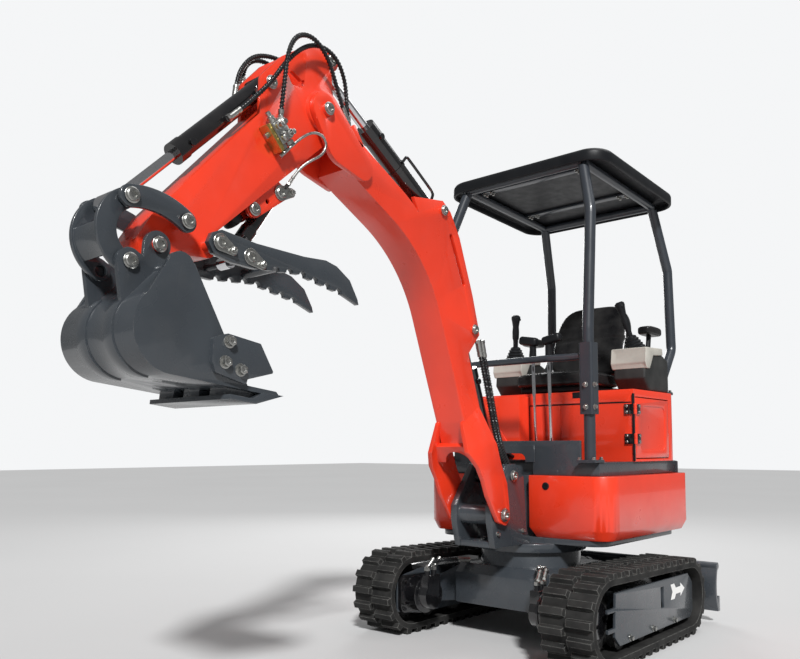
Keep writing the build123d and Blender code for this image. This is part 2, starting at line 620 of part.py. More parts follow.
def build_front_post():
    """Post from the floor, with its square sleeve, up to the roof bars."""
    tube([(POST_X, POST_Y, FLOOR_Z + 5), (POST_X, POST_Y, (SLEEVE_TOP + POST_BEND) / 2 - 246),
          (POST_X - 45, POST_Y, POST_BEND), (BAR_FRONT[0], BAR_Y, BAR_FRONT[1])], POST_R, 120)
    block(POST_X - 45, POST_X + 45, POST_Y - 45, POST_Y + 45, FLOOR_Z, FLOOR_Z + 12)
    with BuildSketch(Plane.XY.offset(SLEEVE_LOW)) as sleeve:
        with Locations((POST_X, POST_Y)):
            RectangleRounded(SLEEVE, SLEEVE, 12)
    extrude(sleeve.sketch, amount=SLEEVE_TOP - SLEEVE_LOW)
    cut_bars()


def build_rear_post():
    """Post from the hood up to the roof bars."""
    tube([(REAR_POST_X, REAR_POST_Y, HOOD_TOP + 2), (REAR_POST_X - 5, REAR_POST_Y, HOOD_TOP + 65),
          (REAR_POST_X - 155, REAR_POST_Y, HOOD_TOP + 250),
          (REAR_POST_X - 147, REAR_POST_Y - 7, ROOF_Z - 395), (BAR_REAR[0], BAR_Y, BAR_REAR[1])], POST_R, 70)
    block(REAR_POST_X - 50, REAR_POST_X + 45, REAR_POST_Y - 45, REAR_POST_Y + 45, HOOD_TOP, HOOD_TOP + 14)
    cut_bars()


side_pair("front_post", build_front_post)
side_pair("rear_post", build_rear_post)

with BuildPart() as roof_bars:
    for side in (1, -1):
        tube([(BAR_FRONT[0], side * BAR_Y, BAR_FRONT[1]), (BAR_REAR[0], side * BAR_Y, BAR_REAR[1])], BAR_R)
    for x, z in (BAR_FRONT, BAR_REAR):
        tube([(x, -BAR_Y, z), (x, BAR_Y, z)], BAR_R)
finish(roof_bars.part, "roof_bars")

with BuildPart() as handrail:
    end, bow = POST_Y - SLEEVE / 2 - FIT, POST_X + 15
    tube([(POST_X, -end, RAIL_Z), (POST_X, 60 - end, RAIL_Z), (bow, 160 - end, RAIL_Z),
          (bow, end - 160, RAIL_Z), (POST_X, end - 60, RAIL_Z), (POST_X, end, RAIL_Z)], 16, 60)
finish(handrail.part, "handrail")

ROOF_UP = Vector(-BAR_SLOPE, 0, 1).normalized()
ROOF_MIDDLE = Vector((BAR_FRONT[0] + BAR_REAR[0]) / 2 - 10, 0, (BAR_FRONT[1] + BAR_REAR[1]) / 2)
ROOF = Plane(origin=ROOF_MIDDLE + ROOF_UP * (BAR_R + FIT), x_dir=(1, 0, BAR_SLOPE), z_dir=ROOF_UP)
with BuildPart() as canopy_roof:
    with BuildSketch(ROOF.offset(-ROOF_LIP)):
        RectangleRounded(ROOF_LENGTH, ROOF_WIDTH, ROOF_ROUND)
    extrude(amount=ROOF_LIP + ROOF_EDGE)
    fillet(canopy_roof.faces().sort_by(Axis.Z)[-1].edges(), ROOF_EDGE - 4)
    with BuildSketch(ROOF.offset(ROOF_EDGE - 1)):
        RectangleRounded(ROOF_LENGTH - 220, ROOF_WIDTH - 200, ROOF_ROUND - 20)
    extrude(amount=ROOF_RISE, taper=40)
    with BuildSketch(ROOF.offset(-ROOF_LIP)):
        RectangleRounded(ROOF_LENGTH - 2 * ROOF_SKIN, ROOF_WIDTH - 2 * ROOF_SKIN, ROOF_ROUND - ROOF_SKIN)
    extrude(amount=ROOF_LIP, mode=Mode.SUBTRACT)
finish(canopy_roof.part, "canopy_roof")


# Boom

KNEE_LOW, KNEE_HIGH = (BOOM_KNEE, 237), (BOOM_KNEE + 18, 386)
BOX_START, FORK_END = 330, 268
JOGGLE = (440, 280)      # where the fork plates leave the box and run straight again
BOOM_TOP = top_plane(FOOT, BOOM_ANGLE)
FORK = [(445, 50), (346, -28), (207, -34), (137, -48), (0, -50), (-48, -14), (-42, 28), (18, 62), (96, 100),
        (190, 112), (300, 140), (445, 190)]
LUG_OUTLINE = [(660, 240), (690, 372), (730, 388), (855, 428), (1098, 487), (1215, 492), (1275, 470),
               (1300, 420), (1360, 300)]
SLOT_ENDS, SLOT_R = ((925, 398), (1130, 436)), 11


def fork_plates():
    """Foot plates that step out from the box to pass outside the bracket's ears."""
    with BuildPart() as plates:
        with BuildSketch(BOOM_TOP.offset(-80)) as strip:
            with BuildLine():
                Polyline((460, BOOM_HALF - LUG_PLATE), (JOGGLE[0] - 10, BOOM_HALF - LUG_PLATE),
                         (JOGGLE[1] - 10, FORK_IN), (-80, FORK_IN), (-80, FORK_OUT), (JOGGLE[1], FORK_OUT),
                         (JOGGLE[0], BOOM_HALF), (460, BOOM_HALF), close=True)
            make_face()
        extrude(strip.sketch, amount=300)
        outline_slab(BOOM, FORK, 2 * FORK_OUT, mode=Mode.INTERSECT, radius=16)
        mirror(about=Plane.XZ)
    return plates.part


with BuildPart() as boom:
    with BuildSketch(BOOM):
        with BuildLine():
            FilletPolyline((BOX_START, 33), KNEE_LOW, (1585, -6), radius=620)
            Polyline((1585, -6), (1690, 97))
            FilletPolyline((1690, 97), KNEE_HIGH, (BOX_START + 20, 168), radius=760)
            Polyline((BOX_START + 20, 168), (BOX_START, 33))
        make_face()
    extrude(amount=BOOM_HALF, both=True)
    add(fork_plates())
    with BuildSketch(BOOM_TOP.offset(12)) as web:
        with BuildLine():
            Polyline((BOX_START + 20, 100), (FORK_END, FORK_IN + 4), (FORK_END, -FORK_IN - 4),
                     (BOX_START + 20, -100), close=True)
        make_face()
        with Locations((FORK_END - 18, 0)):
            Circle(72, mode=Mode.SUBTRACT)
    extrude(web.sketch, amount=30)
    web_y = BOOM_HALF - LUG_PLATE / 2
    for side in (1, -1):
        outline_slab(BOOM, LUG_OUTLINE, LUG_PLATE / 2, at=side * web_y)
        hull_slab(BOOM, [(BOOM_LENGTH, 0, 64), (BOOM_LENGTH - 130, 4, 74), (BOOM_LENGTH - 236, 62, 48)],
                  TIP_EAR / 2, at=side * (BOOM_HALF + TIP_EAR / 2))
    with BuildSketch(BOOM) as slot:
        for spot in SLOT_ENDS:
            with Locations(spot):
                Circle(SLOT_R)
        make_hull()
    extrude(slot.sketch, amount=BOOM_HALF + 5, both=True, mode=Mode.SUBTRACT)
    disc(BOOM, (0, 0), FOOT_R + FIT, 200, Mode.SUBTRACT)
    disc(BOOM, LIFT_EYE, 75, BOOM_HALF - LUG_PLATE, Mode.SUBTRACT)
    disc(BOOM, (BOOM_LENGTH, 0), 135, BOOM_HALF, Mode.SUBTRACT)
    disc(BOOM, (BOOM_LENGTH, 0), TIP_R + FIT, 200, Mode.SUBTRACT)
    pair_of_discs(BOOM, LIFT_EYE, LIFT_EYE_R, (BOOM_HALF - 4, 12))
    disc(BOOM, CROWD_BASE, CROWD_R, BOOM_HALF + 8)
finish(boom.part, "boom")

LIFT_TOP = on_link(BOOM, LIFT_EYE)
CROWD_FOOT = on_link(BOOM, CROWD_BASE)
CROWD_TOP = on_link(ARM, CROWD_EYE)
CURL_FOOT = on_link(ARM, CURL_BASE)
CURL_TOP = on_link(ARM, ROCKER_TOP)
CLAMP_FOOT = on_link(ARM, THUMB_BASE)
CLAMP_TOP = on_link(ARM, THUMB_EYE)

finish(cylinder_barrel(LIFT_BASE, LIFT_TOP, 36, 505, 20, 68, LIFT_R), "boom_barrel")
finish(cylinder_rod(LIFT_BASE, LIFT_TOP, 180, 20, 36, 45, LIFT_EYE_R + 2), "boom_rod")
finish(cylinder_barrel(CROWD_FOOT, CROWD_TOP, 39, 470, 19, 50, CROWD_R), "arm_barrel")
finish(cylinder_rod(CROWD_FOOT, CROWD_TOP, 230, 19, 34, 34, CROWD_EYE_R + 2), "arm_rod")


# Arm

HEAD_Y = ARM_HALF - LUG_PLATE / 2
HEAD = [[(*CURL_BASE, 38), (40, 176, 46)],
        [(40, 176, 46), (-75, 156, 52)],
        [(-75, 156, 52), (*CROWD_EYE, 38)],
        [(0, 0, 70), (-60, 90, 60), (-120, 130, 50)],
        [(0, 0, 70), (90, 60, 70), (230, 60, 60), (*CURL_BASE, 38)]]
HEAD_WINDOW = [(54, 168), (26, 166), (4, 112), (24, 100), (60, 130)]
ARM_OUTLINE = [(-60, -60), (60, -98), (760, -84), (850, -48), (ARM_LENGTH + 20, -46), (ARM_LENGTH + 46, 0),
               (ARM_LENGTH + 20, 46), (816, 72), (220, 120), (60, 130), (-60, 60)]
ARM_CORNER = 12

with BuildPart() as arm:
    outline_slab(ARM, ARM_OUTLINE, ARM_HALF, radius=ARM_CORNER)
    for side in (1, -1):
        for circles in HEAD:
            hull_slab(ARM, circles, LUG_PLATE / 2, at=side * HEAD_Y)
    disc(ARM, (0, 0), TIP_R, BOOM_HALF + 30)
    disc(ARM, (0, 0), 70, BOOM_HALF - 3)
    outline_slab(ARM, HEAD_WINDOW, BOOM_HALF, mode=Mode.SUBTRACT, radius=8)
    disc(ARM, CROWD_EYE, 102, ARM_HALF - LUG_PLATE, Mode.SUBTRACT)
    disc(ARM, CURL_BASE, 44, ARM_HALF - LUG_PLATE, Mode.SUBTRACT)
    pair_of_discs(ARM, CROWD_EYE, CROWD_EYE_R, (ARM_HALF - 4, 12))
    disc(ARM, CURL_BASE, CURL_R, ARM_HALF + 8)
    disc(ARM, ROCKER_PIN, ROCKER_PIN_R, ROCKER_LAYER[0] + 13)
    disc(ARM, (ARM_LENGTH, 0), BUCKET_PIN_R, EAR_LAYER[0] + 17)
    hull_slab(ARM, [(*THUMB_PIN, 36), (690, -60, 36), (780, -60, 36)], ARM_HALF)
    disc(ARM, THUMB_PIN, THUMB_PIN_R, TINE_LAYER[0] + 14)
finish(arm.part, "arm")

# Plates under the arm that carry the thumb's cylinder, with a second place for its pin
BRACKET_REACH = BRACKET_LAYER[0] + BRACKET_LAYER[1]
with BuildPart() as thumb_bracket:
    for side in (1, -1):
        hull_slab(ARM, [(*THUMB_BASE, 28), (*SECOND_PIN, 28), (470, -60, 30), (370, -60, 30)],
                  BRACKET_LAYER[1], at=side * BRACKET_LAYER[0])
    pair_of_discs(ARM, SECOND_PIN, THUMB_BASE_R, (BRACKET_LAYER[0], 10))
    disc(ARM, SPARE_HOLE, SPARE_R, BRACKET_REACH + 5, Mode.SUBTRACT)
    disc(ARM, THUMB_BASE, THUMB_BASE_R + FIT, BRACKET_REACH + 5, Mode.SUBTRACT)
    outline_slab(ARM, ARM_OUTLINE, ARM_HALF, mode=Mode.SUBTRACT, radius=ARM_CORNER)
finish(thumb_bracket.part, "thumb_bracket")

with BuildPart() as thumb_bracket_pin:
    disc(ARM, THUMB_BASE, THUMB_BASE_R, BRACKET_REACH)
finish(thumb_bracket_pin.part, "thumb_bracket_pin")

finish(cylinder_barrel(CURL_FOOT, CURL_TOP, 32, 455, 16, 38, CURL_R), "bucket_barrel")
finish(cylinder_rod(CURL_FOOT, CURL_TOP, 240, 16, 30, 34, ROCKER_TOP_R), "bucket_rod")
finish(cylinder_barrel(CLAMP_FOOT, CLAMP_TOP, 25, 215, 11, 26, THUMB_BASE_R, ports=False), "thumb_barrel")
finish(cylinder_rod(CLAMP_FOOT, CLAMP_TOP, 90, 11, 20, 24, THUMB_EYE_R + 1), "thumb_rod")


# Bucket linkage

with BuildPart() as rocker:
    for side in (1, -1):
        curved_slab(ARM, ROCKER_PIN, (822, 90), ROCKER_TOP, 64, ROCKER_LAYER[1], at=side * ROCKER_LAYER[0])
        disc(ARM, ROCKER_PIN, ROCKER_PIN_R + FIT, 20, Mode.SUBTRACT, at=side * ROCKER_LAYER[0])
    disc(ARM, ROCKER_TOP, ROCKER_TOP_R, ROCKER_LAYER[0] + 11)
    disc(ARM, ROCKER_TOP, ROCKER_TOP_R + 0.5, 36, Mode.SUBTRACT)
finish(rocker.part, "rocker")

with BuildPart() as bucket_link:
    for side in (1, -1):
        curved_slab(ARM, ROCKER_TOP, (985, 116), BUCKET_EYE, 60, LINK_LAYER[1], at=side * LINK_LAYER[0])
        disc(ARM, ROCKER_TOP, ROCKER_TOP_R + FIT, 20, Mode.SUBTRACT, at=side * LINK_LAYER[0])
        disc(ARM, BUCKET_EYE, BUCKET_EYE_R, 20, Mode.SUBTRACT, at=side * LINK_LAYER[0])
    curved_slab(ARM, (988, 138), (1012, 105), (1022, 62), 12, LINK_LAYER[0])
finish(bucket_link.part, "bucket_link")


# Bucket

LIP_GAP = hypot(LIP[0] - BACK_CENTRE[0], LIP[1] - BACK_CENTRE[1])
LIP_WAY = degrees(atan2(LIP[1] - BACK_CENTRE[1], LIP[0] - BACK_CENTRE[0]))
HEEL = LIP_WAY + degrees(acos(BACK_R / LIP_GAP))       # where the round back meets the flat bottom
BOTTOM_WAY = HEEL - 90                                 # direction of the flat bottom towards the lip
BACK_START, BACK_MIDDLE = 182, 115
MOUTH = [(452, 74), (286, 45), (80, 0)]                # mouth edge of a side plate
CUTTER = [(269, 91), (289, 43), (380, -34), (477, -17), (431, 73), (440, 86), (348, 148), (320, 138)]
EDGE_BLADE = [(6, -4), (-95, 36), (-190, 36), (-190, 22), (-110, 22), (-70, -2)]   # past and under the lip
ADAPTER, ADAPTER_Y, ADAPTER_HALF = [(-180, -4), (-180, 24), (-100, 24), (-60, -4)], 135, 40
STRAP_Y, STRAP_HALF, STRAP = 72, 26, 5
TORQUE_R = 22


def back_arc(radius, turned=False):
    """Round back of the bucket at a radius, from its top to the flat bottom or the other way."""
    spots = [along(BACK_CENTRE, a, radius) for a in (BACK_START, BACK_MIDDLE, HEEL)]
    ThreePointArc(*(reversed(spots) if turned else spots))


def under_lip(s, n):
    """Point by its distance past the lip along the bottom and its depth under the bottom's outer face."""
    return along(along(LIP, BOTTOM_WAY, s), HEEL, n)


def shell_face():
    """Section of the wrapped plate, from under the ears round to the lip."""
    top = (50, 45)
    with BuildSketch(BUCKET) as face:
        with BuildLine():
            Line(top, along(BACK_CENTRE, BACK_START, BACK_R))
            back_arc(BACK_R)
            Polyline(along(BACK_CENTRE, HEEL, BACK_R), LIP, under_lip(-16, -BUCKET_WALL),
                     along(BACK_CENTRE, HEEL, BACK_R - BUCKET_WALL))
            back_arc(BACK_R - BUCKET_WALL, turned=True)
            Polyline(along(BACK_CENTRE, BACK_START, BACK_R - BUCKET_WALL), (top[0] + BUCKET_WALL, top[1]),
                     top)
        make_face()
    return face.sketch


def side_plate(y):
    """Side wall with its round top corner, closed along the mouth."""
    with BuildSketch(BUCKET.offset(-y)) as face:
        with BuildLine():
            Line((TONGUE[0] - TONGUE_R, TONGUE[1]), along(BACK_CENTRE, BACK_START, BACK_R))
            back_arc(BACK_R)
            Polyline(along(BACK_CENTRE, HEEL, BACK_R), under_lip(-138, 0), *MOUTH,
                     (TONGUE[0], TONGUE[1]), (TONGUE[0] - TONGUE_R, TONGUE[1]))
        make_face()
        with Locations(TONGUE):
            Circle(TONGUE_R)
    extrude(face.sketch, amount=SIDE_WALL / 2, both=True)


def strap(y):
    """Wear strap wrapped round the back."""
    with BuildSketch(BUCKET.offset(-y)) as face:
        with BuildLine():
            back_arc(BACK_R + STRAP)
            Line(along(BACK_CENTRE, HEEL, BACK_R + STRAP), along(BACK_CENTRE, HEEL, BACK_R - STRAP))
            back_arc(BACK_R - STRAP, turned=True)
            Line(along(BACK_CENTRE, BACK_START, BACK_R - STRAP),
                 along(BACK_CENTRE, BACK_START, BACK_R + STRAP))
        make_face()
    extrude(face.sketch, amount=STRAP_HALF, both=True)


with BuildPart() as bucket:
    extrude(shell_face(), amount=BUCKET_HALF, both=True)
    for side in (1, -1):
        side_plate(side * (BUCKET_HALF - SIDE_WALL / 2))
        strap(side * STRAP_Y)
        outline_slab(BUCKET, CUTTER, SIDE_WALL / 2, at=side * (BUCKET_HALF + SIDE_WALL / 2), radius=6)
        hull_slab(BUCKET, [(0, 0, 40), (62, 74, 32)], EAR_LAYER[1], at=side * EAR_LAYER[0])
        hull_slab(BUCKET, [(*LINK_EYE, 38), (72, 160, 36), (62, 74, 32)], EAR_LAYER[1],
                  at=side * EAR_LAYER[0])
        tongue_y = (EAR_LAYER[0] + BUCKET_HALF - SIDE_WALL) / 2
        disc(BUCKET, TONGUE, TORQUE_R, tongue_y - EAR_LAYER[0], at=side * tongue_y)
    outline_slab(BUCKET, [under_lip(s, n) for s, n in EDGE_BLADE], BUCKET_HALF + 10)
    for y in (-ADAPTER_Y, 0, ADAPTER_Y):
        outline_slab(BUCKET, [under_lip(s, n) for s, n in ADAPTER], ADAPTER_HALF, at=y)
    pair_of_discs(BUCKET, (0, 0), BUCKET_PIN_R + FIT, (EAR_LAYER[0], 20), Mode.SUBTRACT)
    pair_of_discs(BUCKET, LINK_EYE, BUCKET_EYE_R, (EAR_LAYER[0] + 1, 13))
finish(bucket.part, "bucket")


# Thumb

TINE_BACK = [(735, -62), (700, -75), (616, -176), (475, -315), (400, -378), (370, -422), (350, -494),
             (364, -565), (373, -583)]
TINE_EDGE = [(407, -517), (534, -345), (673, -232)]    # gripping edge, from the tip upwards
TINE_HEEL = [(735, -167), (772, -110), (765, -75)]
BITES, BITE_R = 7, 15


def tine(y):
    """Curved plate with round bites along its gripping edge."""
    with BuildSketch(ARM.offset(-y)) as face:
        with BuildLine():
            Polyline(*TINE_BACK, *TINE_EDGE, *TINE_HEEL, close=True)
        make_face()
        with BuildLine(mode=Mode.PRIVATE):
            edge = Polyline(*TINE_EDGE)
        spots = [edge @ ((i + 0.5) / BITES) for i in range(BITES)]
        with Locations(*[(p.X, p.Y) for p in spots]):
            Circle(BITE_R, mode=Mode.SUBTRACT)
    extrude(face.sketch, amount=TINE_LAYER[1], both=True)


with BuildPart() as thumb:
    for side in (1, -1):
        tine(side * TINE_LAYER[0])
        disc(ARM, THUMB_PIN, THUMB_PIN_R + FIT, 20, Mode.SUBTRACT, at=side * TINE_LAYER[0])
        disc(ARM, THUMB_EYE, THUMB_EYE_R, 45, at=side * 73)
    disc(ARM, (541, -298), 18, TINE_LAYER[0])
finish(thumb.part, "thumb")
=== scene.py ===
"""Mini excavator with an open canopy: finishes, fittings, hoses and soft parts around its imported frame."""

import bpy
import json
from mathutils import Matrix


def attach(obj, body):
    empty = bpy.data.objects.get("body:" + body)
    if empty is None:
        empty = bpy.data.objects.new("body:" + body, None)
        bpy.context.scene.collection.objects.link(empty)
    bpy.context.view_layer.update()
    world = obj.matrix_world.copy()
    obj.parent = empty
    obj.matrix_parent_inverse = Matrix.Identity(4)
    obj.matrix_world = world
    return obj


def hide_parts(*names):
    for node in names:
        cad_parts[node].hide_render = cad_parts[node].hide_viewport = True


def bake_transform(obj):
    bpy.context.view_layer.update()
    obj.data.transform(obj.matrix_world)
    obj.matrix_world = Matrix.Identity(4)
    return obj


bl_info = {
    "name": "Mini Excavator Dresser",
    "version": (1, 0, 0),
    "blender": (4, 5, 0),
    "location": "3D View > Sidebar > Excavator",
    "description": "Dresses the packed mini excavator with paint, fittings, hoses, seat and stage",
    "category": "Object",
}

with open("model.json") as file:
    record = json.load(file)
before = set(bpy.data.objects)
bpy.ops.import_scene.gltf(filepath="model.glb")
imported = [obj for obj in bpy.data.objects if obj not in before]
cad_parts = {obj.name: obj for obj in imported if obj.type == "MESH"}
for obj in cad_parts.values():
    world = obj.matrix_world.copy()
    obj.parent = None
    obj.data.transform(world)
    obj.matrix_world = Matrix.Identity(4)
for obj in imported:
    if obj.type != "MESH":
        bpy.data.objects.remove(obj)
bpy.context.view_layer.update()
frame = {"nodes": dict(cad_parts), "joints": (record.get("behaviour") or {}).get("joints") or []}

import json
from math import cos, pi, radians, sin

import bpy
from bpy.props import FloatProperty, FloatVectorProperty, PointerProperty
from mathutils import Matrix, Vector

MM = 0.001
AHEAD, LEFT, UP = Vector((1.0, 0.0, 0.0)), Vector((0.0, 1.0, 0.0)), Vector((0.0, 0.0, 1.0))


# Places taken from the frame

def joint_pin(name):
    """Where a joint of the frame turns, in metres."""
    return Vector(next(j["pos_m"] for j in frame["joints"] if j["name"] == name))


class Link:
    """A swinging piece's own frame: millimetres along it, on its upper side and across the machine."""

    def __init__(self, pin, along):
        self.pin = Vector((pin.x, 0.0, pin.z))
        self.along = along.normalized()
        self.up = Vector((-self.along.z, 0.0, self.along.x))

    def at(self, u, v, y=0.0):
        return self.pin + (self.along * u + self.up * v + LEFT * y) * MM

    def frame(self, u, v, y=0.0):
        turn = Matrix((self.along, LEFT, self.up)).transposed().to_4x4()
        return Matrix.Translation(self.at(u, v, y)) @ turn


FOOT, TIP, BUCKET_PIN = joint_pin("boom_lift"), joint_pin("arm_swing"), joint_pin("bucket_curl")
BOOM = Link(FOOT, TIP - FOOT)
ARM = Link(TIP, BUCKET_PIN - TIP)
BUCKET_FOLD = radians(87.9)
BUCKET = Link(BUCKET_PIN, Matrix.Rotation(BUCKET_FOLD, 3, "Y") @ ARM.along)
GROUND = Link(Vector((0.0, 0.0, 0.0)), AHEAD)
ARM_REACH = (BUCKET_PIN - TIP).length / MM
SIDES = ((1, "left"), (-1, "right"))


def mm(*values):
    """A point or a size given in millimetres."""
    return Vector(values) * MM


def spot(x, y, z):
    """Unturned place at a point given in millimetres."""
    return Matrix.Translation(mm(x, y, z))


def rotated(degrees, axis):
    """Turn about one of the machine's axes."""
    return Matrix.Rotation(radians(degrees), 4, axis)


# Properties

def colour_property(name, description, default):
    return FloatVectorProperty(name=name, description=description, subtype="COLOR", size=3,
                               min=0.0, max=1.0, default=default)


def length_property(name, description, default):
    return FloatProperty(name=name, description=description, subtype="DISTANCE", unit="LENGTH",
                         min=0.0001, default=default)


class ExcavatorPaint(bpy.types.PropertyGroup):
    """Colours of the finishes."""

    red: colour_property("Red paint", "Gloss paint of boom, arm and covers", (0.80, 0.044, 0.014))
    grey: colour_property("Grey paint", "Satin paint of bucket and frames", (0.040, 0.047, 0.055))
    post: colour_property("Post paint", "Satin paint of posts and rails", (0.030, 0.036, 0.045))
    black: colour_property("Black paint", "Gloss paint of the cylinders", (0.006, 0.006, 0.007))
    rubber: colour_property("Track rubber", "Moulded rubber of the tracks", (0.011, 0.011, 0.011))
    plastic: colour_property("Black plastic", "Moulded canopy, grips and boots", (0.008, 0.009, 0.011))
    cream: colour_property("Cream plastic", "Moulded console tops", (0.50, 0.48, 0.43))
    trim: colour_property("Trim plastic", "Dark side panels of the consoles", (0.024, 0.025, 0.025))
    vinyl: colour_property("Seat vinyl", "Cover of the seat", (0.008, 0.008, 0.009))
    marking: colour_property("Marking", "Arrow on the track's side plate", (0.82, 0.82, 0.80))


class ExcavatorFittings(bpy.types.PropertyGroup):
    """Sizes of hoses, pins, bolts and softened edges."""

    hose: length_property("Hose", "Outer diameter of the hoses with their guard", 0.018)
    thin_hose: length_property("Thin hose", "Outer diameter of the thumb cylinder's hose", 0.010)
    feed_hose: length_property("Feed hose", "Outer diameter of the hoses behind the boom", 0.024)
    guard_pitch: length_property("Guard pitch", "Pitch of the spiral guard round a hose", 0.012)
    ferrule: length_property("Ferrule", "Length of the crimped sleeve at a hose's end", 0.052)
    pin_head: length_property("Pin head", "Radius of a pin's plated head", 0.021)
    bolt: length_property("Bolt", "Width across a bolt's head", 0.019)
    plate_edge: length_property("Plate edge", "Rounding of plate edges", 0.0025)
    panel_edge: length_property("Panel edge", "Rounding of pressed panels", 0.006)
    moulded_edge: length_property("Moulded edge", "Rounding of the moulded consoles", 0.020)


class ExcavatorStudio(bpy.types.PropertyGroup):
    """Camera, floor and light."""

    camera_place: FloatVectorProperty(name="Camera place", description="Where the camera stands",
                                      subtype="TRANSLATION", unit="LENGTH", size=3,
                                      default=(3.2991, 2.0386, 0.8714))
    camera_turn: FloatProperty(name="Camera turn", description="Heading of the view from +X",
                               subtype="ANGLE", unit="ROTATION", default=3.858)
    camera_rise: FloatProperty(name="Camera rise", description="Upward tilt of the view",
                               subtype="ANGLE", unit="ROTATION", default=0.077)
    lens: FloatProperty(name="Lens", description="Focal length on a 36 mm sensor", subtype="DISTANCE_CAMERA",
                        default=35.28)
    shift: FloatProperty(name="Upward shift", default=0.0726,
                         description="Upward shift of the frame, as a share of its width")
    floor_colour: colour_property("Floor", "Plain pale floor", (0.56, 0.56, 0.56))
    ambient: FloatProperty(name="Ambient", description="Strength of the even light from all round", min=0.0,
                           default=0.19)
    backdrop: FloatProperty(name="Backdrop", description="Brightness of the plain backdrop", min=0.0,
                            default=0.93)
    key: FloatProperty(name="Key light", description="Strength of the main light", min=0.0, default=4.0)
    key_spread: FloatProperty(name="Key spread", description="Width of the main light, as an angle",
                              subtype="ANGLE", unit="ROTATION", default=0.12)
    key_side: FloatVectorProperty(name="Key side", description="Direction to the main light",
                                  subtype="DIRECTION", size=3, default=(0.58, 0.57, 0.66))


# Materials

class Finish:
    """A new material with its shader, and short calls to wire patterns into it."""

    def __init__(self, name):
        self.material = bpy.data.materials.new(name)
        self.material.use_nodes = True
        self.nodes = self.material.node_tree.nodes
        self.links = self.material.node_tree.links
        self.shader = self.nodes["Principled BSDF"]
        self.place = self.nodes.new("ShaderNodeTexCoord").outputs["Object"]

    def set(self, **sockets):
        for name, value in sockets.items():
            self.shader.inputs[name.replace("_", " ")].default_value = value
        return self

    def noise(self, scale, detail=4.0):
        node = self.nodes.new("ShaderNodeTexNoise")
        node.inputs["Scale"].default_value = scale
        node.inputs["Detail"].default_value = detail
        self.links.new(self.place, node.inputs["Vector"])
        return node.outputs["Fac"]

    def spread(self, source, low, high, start=0.3, end=0.7):
        node = self.nodes.new("ShaderNodeMapRange")
        for name, value in (("From Min", start), ("From Max", end), ("To Min", low), ("To Max", high)):
            node.inputs[name].default_value = value
        self.links.new(source, node.inputs["Value"])
        return node.outputs["Result"]

    def blend(self, share, first, second):
        """Mix of two colours, or of a colour socket and a colour, by a share."""
        node = self.nodes.new("ShaderNodeMix")
        node.data_type = "RGBA"
        self.links.new(share, node.inputs["Factor"])
        for slot, value in (("A", first), ("B", second)):
            socket = next(s for s in node.inputs if s.name == slot and s.type == "RGBA")
            if isinstance(value, bpy.types.NodeSocket):
                self.links.new(value, socket)
            else:
                socket.default_value = (*value, 1.0)
        return next(s for s in node.outputs if s.type == "RGBA")

    def edges(self, radius, start=0.02, end=0.20):
        """Share of edge: how far the rounded normal leaves the flat one."""
        bevel = self.nodes.new("ShaderNodeBevel")
        bevel.samples = 4
        bevel.inputs["Radius"].default_value = radius
        face = self.nodes.new("ShaderNodeNewGeometry")
        dot = self.nodes.new("ShaderNodeVectorMath")
        dot.operation = "DOT_PRODUCT"
        self.links.new(bevel.outputs["Normal"], dot.inputs[0])
        self.links.new(face.outputs["True Normal"], dot.inputs[1])
        return self.spread(dot.outputs["Value"], 1.0, 0.0, 1.0 - end, 1.0 - start)

    def times(self, first, second):
        node = self.nodes.new("ShaderNodeMath")
        node.operation = "MULTIPLY"
        self.links.new(first, node.inputs[0])
        self.links.new(second, node.inputs[1])
        return node.outputs["Value"]

    def colour(self, source):
        self.links.new(source, self.shader.inputs["Base Color"])
        return self

    def rough(self, source):
        self.links.new(source, self.shader.inputs["Roughness"])
        return self

    def bump(self, source, depth, strength=0.4):
        node = self.nodes.new("ShaderNodeBump")
        node.inputs["Strength"].default_value = strength
        node.inputs["Distance"].default_value = depth
        self.links.new(source, node.inputs["Height"])
        self.links.new(node.outputs["Normal"], self.shader.inputs["Normal"])
        return self


PAINT_DUST = (0.34, 0.31, 0.28)
PLASTIC_DUST = (0.3, 0.29, 0.27)
METAL_GRAIN = 240.0


def shade(colour, factor):
    return tuple(min(1.0, c * factor) for c in colour)


def toward(colour, other, share):
    return tuple(a + (b - a) * share for a, b in zip(colour, other))


def gloss_paint(name, colour, roughness, coat, worn):
    """Sprayed paint: slight orange peel, drifting gloss, a film of dust and rubbed edges."""
    f = Finish(name).set(Coat_Weight=coat, Coat_Roughness=0.08)
    tone = f.blend(f.spread(f.noise(5.0), 0.0, 1.0), shade(colour, 0.93), shade(colour, 1.05))
    dust = f.spread(f.noise(14.0, 8.0), 0.0, 0.07, 0.50, 0.75)
    tone = f.blend(dust, tone, toward(colour, PAINT_DUST, 0.3))
    rub = f.times(f.edges(0.003), f.spread(f.noise(45.0, 6.0), 0.0, 0.7, 0.50, 0.66))
    f.colour(f.blend(rub, tone, worn))
    f.rough(f.spread(f.noise(9.0, 6.0), roughness * 0.85, roughness * 1.25))
    return f.bump(f.noise(620.0, 2.0), 0.0004, 0.12).material


def metal(name, colour, roughness):
    """Bare or plated metal with fine marks."""
    f = Finish(name).set(Metallic=1.0)
    f.colour(f.blend(f.spread(f.noise(METAL_GRAIN, 5.0), 0.0, 1.0), shade(colour, 0.82), colour))
    f.rough(f.spread(f.noise(METAL_GRAIN * 0.4, 5.0), roughness * 0.7, roughness * 1.4))
    return f.bump(f.noise(METAL_GRAIN * 2, 2.0), 0.0002, 0.1).material


